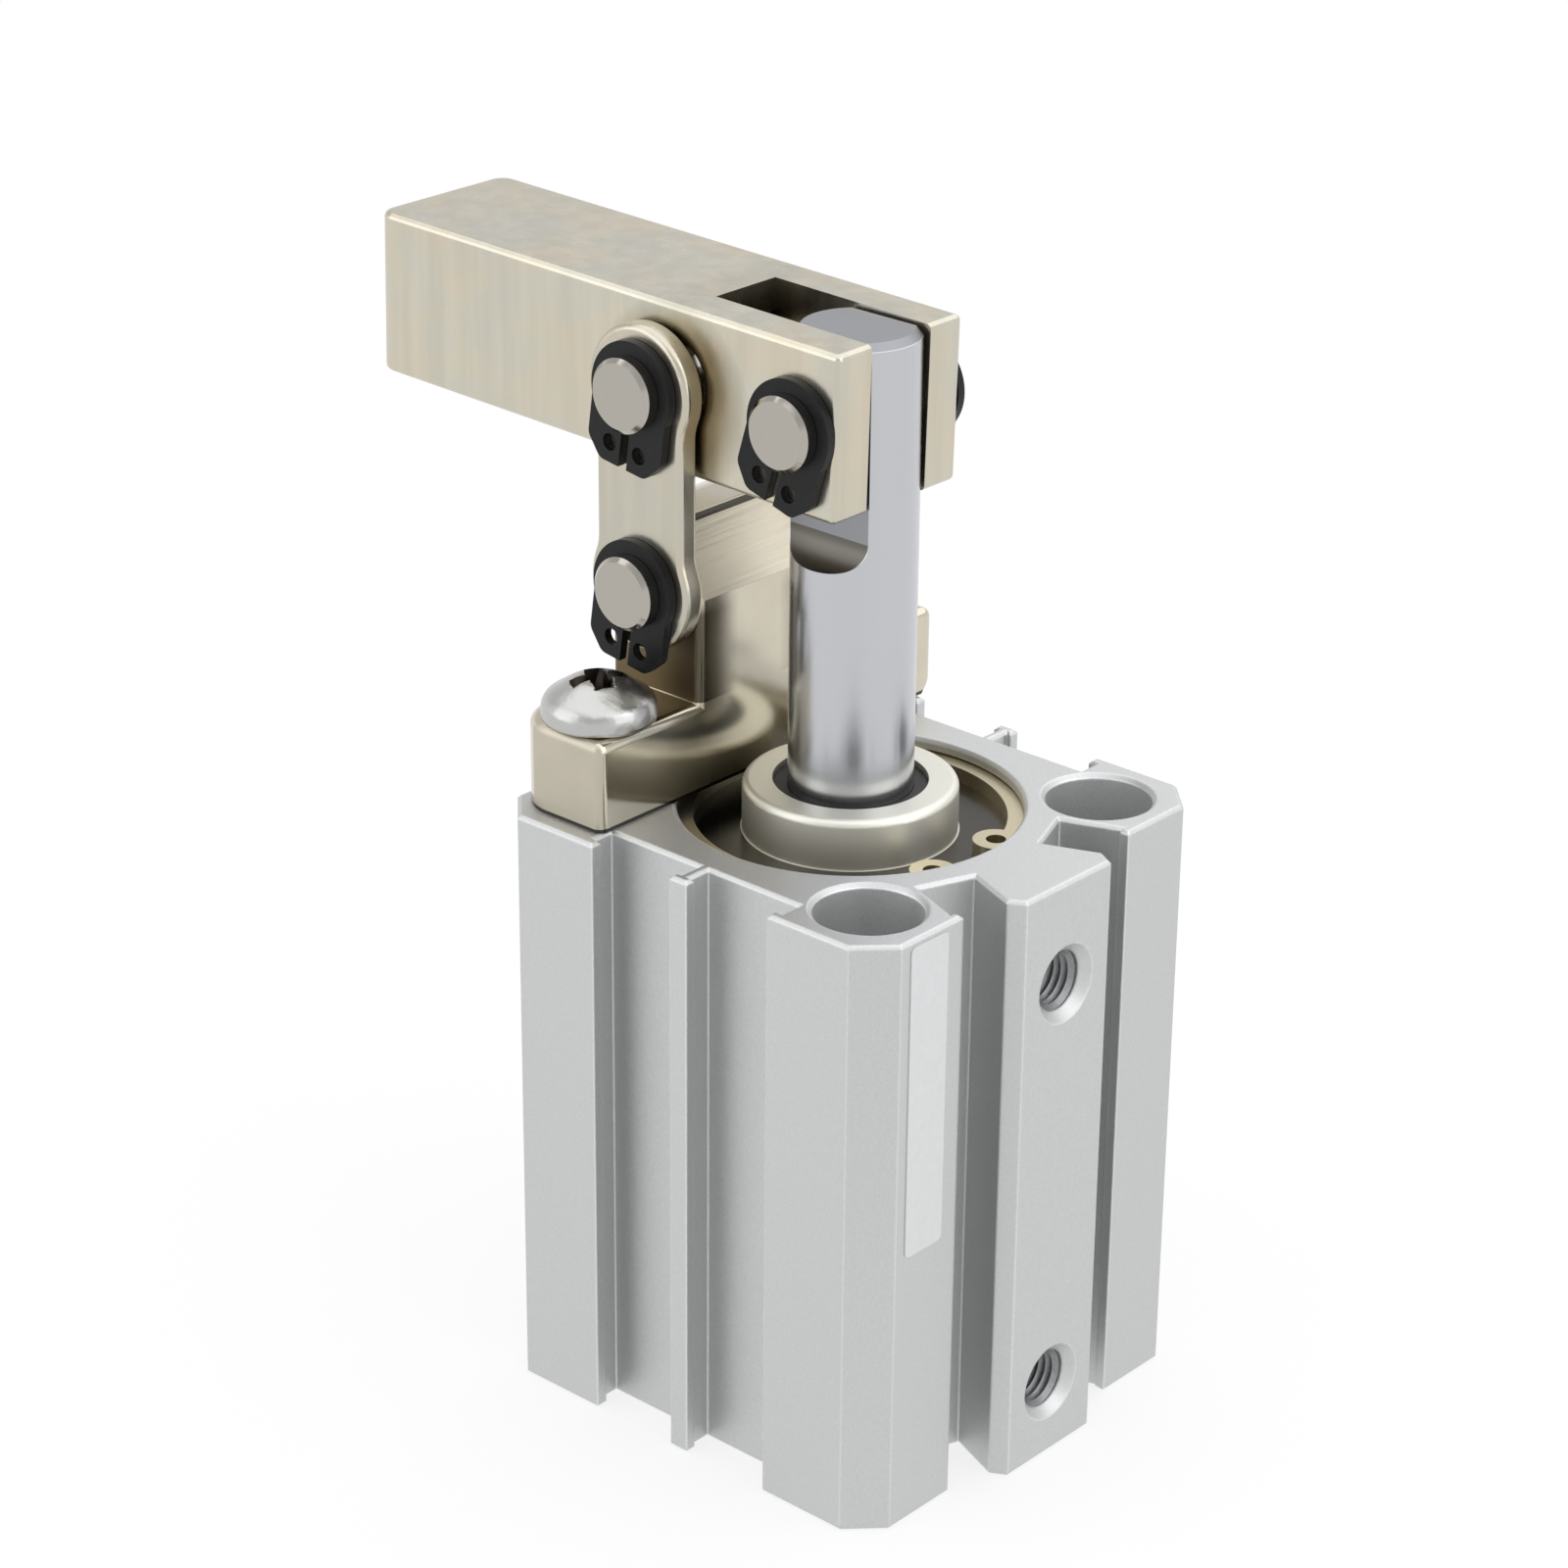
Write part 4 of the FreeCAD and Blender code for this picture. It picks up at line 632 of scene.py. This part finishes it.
class CLAMP_OT_finishes(bpy.types.Operator):
    """Give every turned, milled and moulded piece its finish"""
    bl_idname = "clamp.finishes"
    bl_label = "Finishes"

    def execute(self, context):
        settings = context.scene.clamp_finish
        link_shadow_place = PIN_CENTRES["link_upper_pin"] + LINK_SHADOW_SHIFT
        # Slot, material's name, colour, roughness and the spacing of the rings
        turned = (
            ("turned_steel", "Turned steel", settings.cover, 0.3, 0.3 * MM),
            ("yellow_spring_steel", "Yellow passivated steel", settings.ring, 0.3, 0.4 * MM),
            ("turned_aluminium", "Turned aluminium", settings.inner_aluminium, 0.32, 0.3 * MM),
        )
        # Slot, material's name, colour, how metallic, roughness, grain and where need be the colour's spread
        fine = (
            # Painted shade in the screws' cross recess
            ("screw_recess", "Oil-dark zinc", settings.recess, 1.0, 0.4, 0.4 * MM),
            ("black_rubber", "Nitrile rubber", settings.rubber, 0.0, 0.5, 0.25 * MM),
            ("bearing_bronze", "Sintered bronze", settings.bronze, 1.0, 0.45, 0.2 * MM),
            # Painted shade darkens the port threads
            ("tapped_thread", "Tapped aluminium thread", settings.thread, 1.0, 0.42, 0.3 * MM),
            ("wear_plastic", "Filled wear plastic", settings.wear_plastic, 0.0, 0.5, 0.3 * MM),
            ("bonded_magnet", "Plastic-bonded ferrite", settings.ferrite, 0.0, 0.6, 0.3 * MM),
            ("label_film", "Silver polyester film", settings.label, 0.3, 0.34, 0.8 * MM, 0.02),
        )
        FINISHES.update({
            "anodised_aluminium": anodised_aluminium(settings),
            "nickel_plated_steel": nickel_plate(settings, "Satin electroless nickel", level=0.92),
            "link_shadowed_nickel_plate": nickel_plate(settings, "Link-shadowed electroless nickel", link_shadow_place),
            "milled_nickel_plate": milled_nickel_plate(settings),
            "hard_chrome_rod": hard_chrome(settings),
            "turned_cover": turned_cover(settings),
            "bright_screw_steel": bright_zinc(settings),
            "black_spring_steel": black_phosphate(settings),
        })
        for slot, *values in turned:
            FINISHES[slot] = turned_metal(*values)
        for slot, *values in fine:
            FINISHES[slot] = fine_matter(*values)
        for slot, nodes in NODE_FINISH.items():
            for node in nodes:
                give(frame["nodes"][node], FINISHES[slot])
        for pin, centre in PIN_CENTRES.items():
            give(frame["nodes"][pin], ground_pin(settings, pin, centre))
        return {"FINISHED"}


class CLAMP_OT_screws(bpy.types.Operator):
    """Cut the cross recess into the heads of the bracket screws"""
    bl_idname = "clamp.screws"
    bl_label = "Bracket screws"

    def execute(self, context):
        settings = context.scene.clamp_screw
        for side in ("near", "far"):
            node = "bracket_screw_" + side
            low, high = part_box(node)
            head_top = Vector(((low.x + high.x) / 2, (low.y + high.y) / 2, high.z))
            screw = frame["nodes"][node].copy()
            screw.data = frame["nodes"][node].data.copy()
            context.collection.objects.link(screw)
            screw.parent = None
            join_triangles(screw)
            give(screw, FINISHES["bright_screw_steel"])
            cutter = self.cross(settings, head_top)
            give(cutter, FINISHES["screw_recess"])
            # The recess keeps the cutter's darker colour, a painted shade
            apply_modifier(screw, "BOOLEAN", operation="DIFFERENCE", object=cutter, solver="EXACT",
                           material_mode="TRANSFER")
            bpy.data.objects.remove(cutter)
            settle(screw, "bracket_screw_head_" + side)
            smooth(screw, degrees=40)
            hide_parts(node)
            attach(screw, "cylinder")
        return {"FINISHED"}

    def cross(self, settings, centre):
        """A tapered cross, wide at the head's top and narrow at its bottom."""
        wings = []
        for turn in (settings.turn, settings.turn + math.radians(90)):
            deselect()
            bpy.ops.mesh.primitive_cube_add(size=1, location=centre, rotation=(0, 0, turn))
            wing = bpy.context.object
            wing.scale = (2 * settings.wing, settings.wing_width, 2 * settings.recess_depth)
            bpy.ops.object.transform_apply(location=False, rotation=False, scale=True)
            bpy.ops.object.mode_set(mode="EDIT")
            bpy.ops.mesh.select_all(action="DESELECT")
            bpy.ops.object.mode_set(mode="OBJECT")
            for face in wing.data.polygons:
                face.select = face.normal.z < -FACING
            bpy.ops.object.mode_set(mode="EDIT")
            bpy.ops.transform.resize(value=(settings.length_taper, settings.width_taper, 1))
            bpy.ops.object.mode_set(mode="OBJECT")
            wings.append(wing)
        apply_modifier(wings[0], "BOOLEAN", operation="UNION", object=wings[1], solver="EXACT")
        bpy.data.objects.remove(wings[1])
        return wings[0]


class CLAMP_OT_port_threads(bpy.types.Operator):
    """Turn an internal thread into each air port"""
    bl_idname = "clamp.port_threads"
    bl_label = "Port threads"

    def execute(self, context):
        settings = context.scene.clamp_thread
        turns = settings.run / settings.pitch
        steps = int(settings.steps * turns)
        start = PORT_FACE - settings.start
        width = settings.pitch * settings.ridge
        for port in ("upper_port", "lower_port"):
            centre = Vector(mounts[port]["pos_m"])
            root = mounts[port]["dims"]["r_mm"] * MM
            deselect()
            # One ridge of the thread in the plane through the port's axis, swept round that axis
            bpy.ops.mesh.primitive_circle_add(vertices=3, radius=1, fill_type="NOTHING", location=(0, 0, 0))
            ridge = bpy.context.object
            corners = (
                (start, 0, root + settings.bite),
                (start - width, 0, root + settings.bite),
                (start - width / 2, 0, root - settings.depth),
            )
            for vertex, corner in zip(ridge.data.vertices, corners):
                vertex.co = corner
            apply_modifier(ridge, "SCREW", axis="X", angle=math.tau * turns,
                           screw_offset=settings.pitch - settings.run,
                           steps=steps, render_steps=steps, use_merge_vertices=False)
            ridge.location = (0, centre.y, centre.z)
            bpy.ops.object.transform_apply(location=True, rotation=True, scale=True)
            bpy.ops.object.mode_set(mode="EDIT")
            bpy.ops.mesh.select_all(action="DESELECT")
            bpy.ops.mesh.select_mode(type="EDGE")
            bpy.ops.mesh.select_non_manifold()
            bpy.ops.mesh.edge_face_add()
            bpy.ops.mesh.select_all(action="SELECT")
            bpy.ops.mesh.normals_make_consistent(inside=False)
            bpy.ops.object.mode_set(mode="OBJECT")
            settle(ridge, port + "_thread")
            smooth(ridge, degrees=25)
            give(ridge, FINISHES["tapped_thread"])
            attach(ridge, "cylinder")
        return {"FINISHED"}


class CLAMP_OT_label(bpy.types.Operator):
    """Stick a blank label on the port side of the body"""
    bl_idname = "clamp.label"
    bl_label = "Blank label"

    def execute(self, context):
        settings = context.scene.clamp_label
        centre = Vector((
            PORT_SIDE + settings.thick / 2,
            (settings.low_y + settings.high_y) / 2,
            TOP - settings.drop - settings.tall / 2,
        ))
        deselect()
        bpy.ops.mesh.primitive_cube_add(size=1, location=centre)
        label = bpy.context.object
        label.scale = (settings.thick, settings.high_y - settings.low_y, settings.tall)
        settle(label, "blank_label")
        bpy.ops.object.mode_set(mode="EDIT")
        bpy.ops.mesh.select_all(action="DESELECT")
        bpy.ops.object.mode_set(mode="OBJECT")
        # The four edges through the film's thickness are the corners to round
        for edge in label.data.edges:
            a, b = (label.data.vertices[k].co for k in edge.vertices)
            edge.select = abs(a.x - b.x) > settings.thick / 2
        bpy.ops.object.mode_set(mode="EDIT")
        bpy.ops.mesh.bevel(offset=settings.corner, segments=6)
        bpy.ops.object.mode_set(mode="OBJECT")
        smooth(label)
        give(label, FINISHES["label_film"])
        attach(label, "cylinder")
        return {"FINISHED"}


class CLAMP_OT_studio(bpy.types.Operator):
    """Set the floor, the soft lights and the camera"""
    bl_idname = "clamp.studio"
    bl_label = "Studio"

    def execute(self, context):
        settings = context.scene.clamp_studio
        self.camera(settings)
        self.floor(settings)
        self.lights()
        self.world()
        context.scene.view_settings.view_transform = "Standard"
        return {"FINISHED"}

    def camera(self, settings):
        deselect()
        bpy.ops.object.camera_add()
        camera = bpy.context.object
        camera.name = "photo_camera"
        camera.data.lens = settings.lens
        camera.data.sensor_width = 36
        camera.data.clip_start = 10 * MM
        azimuth, elevation, roll = settings.azimuth, settings.elevation, settings.roll
        back = Vector((
            math.sin(azimuth) * math.cos(elevation),
            -math.cos(azimuth) * math.cos(elevation),
            math.sin(elevation),
        ))
        level = Vector((math.cos(azimuth), math.sin(azimuth), 0))
        upright = back.cross(level)
        right = level * math.cos(roll) + upright * math.sin(roll)
        up = upright * math.cos(roll) - level * math.sin(roll)
        shift = right * settings.offset_x + up * settings.offset_y
        place = shift + back * settings.distance + Vector((0, 0, TOP))
        camera.matrix_world = Matrix.Translation(place) @ Matrix((right, up, back)).transposed().to_4x4()
        bpy.context.scene.camera = camera

    def floor(self, settings):
        deselect()
        bpy.ops.mesh.primitive_plane_add(size=FLOOR_SIZE, location=(0, 0, -FLOOR_GAP))
        floor = bpy.context.object
        settle(floor, "floor")
        material, tree, place = start_material("white_floor")
        paint = add_node(tree, "ShaderNodeBsdfDiffuse", {"Color": shade(settings.floor_colour)})
        white = add_node(tree, "ShaderNodeEmission", {"Color": shade(PLAIN), "Strength": 1.0})
        # Mirrors see the same white floor as the camera does
        ray = add_node(tree, "ShaderNodeLightPath").outputs
        mirrored = add_node(tree, "ShaderNodeMath", {
            0: ray["Is Glossy Ray"], 1: ray["Is Transmission Ray"]}, operation="MAXIMUM")
        looked_at = add_node(tree, "ShaderNodeMath", {
            0: ray["Is Camera Ray"], 1: mirrored}, operation="MAXIMUM")
        # Whiter with distance, so that only the floor round the object keeps its shadow
        reach = add_node(tree, "ShaderNodeVectorMath", {0: place}, operation="LENGTH").outputs["Value"]
        fade = add_node(tree, "ShaderNodeMapRange", {
            "Value": reach, "From Min": SHADOW_REACH, "From Max": WHITE_REACH,
            "To Min": WHITE_OVER_SHADOW, "To Max": 1.0})
        seen = add_node(tree, "ShaderNodeMath", {0: looked_at, 1: fade}, operation="MULTIPLY")
        surface = add_node(tree, "ShaderNodeMixShader", {0: seen, 1: paint, 2: white})
        add_node(tree, "ShaderNodeOutputMaterial", {"Surface": surface})
        give(floor, material)

    def lights(self):
        aim = Vector(LAMP_AIM) * MM
        for name, place_mm, (width, height), watts in SOFTBOXES:
            deselect()
            place = Vector(place_mm) * MM
            turn = (place - aim).to_track_quat("Z", "Y")
            bpy.ops.object.light_add(type="AREA", location=place, rotation=turn.to_euler())
            lamp = bpy.context.object
            lamp.name = name
            lamp.data.shape = "RECTANGLE"
            lamp.data.size = width * MM
            lamp.data.size_y = height * MM
            lamp.data.energy = watts

    def world(self):
        world = bpy.data.worlds.new("studio")
        bpy.context.scene.world = world
        world.use_nodes = True
        tree = world.node_tree
        tree.nodes.clear()
        where = add_node(tree, "ShaderNodeTexCoord").outputs["Generated"]
        upwards = add_node(tree, "ShaderNodeSeparateXYZ", {"Vector": where}).outputs["Z"]
        ramp = add_node(tree, "ShaderNodeValToRGB", {"Fac": upwards}, ROOM)
        room = add_node(tree, "ShaderNodeBackground", {"Color": ramp, "Strength": 1.0})
        add_node(tree, "ShaderNodeOutputWorld", {"Surface": room})


class CLAMP_PT_panel(bpy.types.Panel):
    """Lists the pieces in the order they are made"""
    bl_idname = "CLAMP_PT_panel"
    bl_label = "Clamp cylinder"
    bl_space_type = "VIEW_3D"
    bl_region_type = "UI"
    bl_category = "Clamp cylinder"

    def draw(self, context):
        for operator in OPERATORS:
            self.layout.operator(operator.bl_idname)
        for group in SETTINGS:
            box = self.layout.box()
            owner = getattr(context.scene, group)
            for name in owner.__annotations__:
                box.prop(owner, name)


SETTINGS = {
    "clamp_finish": ClampFinishSettings,
    "clamp_thread": ClampThreadSettings,
    "clamp_screw": ClampScrewSettings,
    "clamp_label": ClampLabelSettings,
    "clamp_studio": ClampStudioSettings,
}
OPERATORS = (
    CLAMP_OT_finishes,
    CLAMP_OT_screws,
    CLAMP_OT_port_threads,
    CLAMP_OT_label,
    CLAMP_OT_studio,
)


def register():
    for cls in (*SETTINGS.values(), *OPERATORS, CLAMP_PT_panel):
        bpy.utils.register_class(cls)
    for name, cls in SETTINGS.items():
        setattr(bpy.types.Scene, name, PointerProperty(type=cls))


def unregister():
    for name in SETTINGS:
        delattr(bpy.types.Scene, name)
    for cls in reversed((*SETTINGS.values(), *OPERATORS, CLAMP_PT_panel)):
        bpy.utils.unregister_class(cls)


def main():
    register()
    bpy.ops.clamp.finishes()
    bpy.ops.clamp.screws()
    bpy.ops.clamp.port_threads()
    bpy.ops.clamp.label()
    bpy.ops.clamp.studio()


if __name__ == "__main__":
    main()
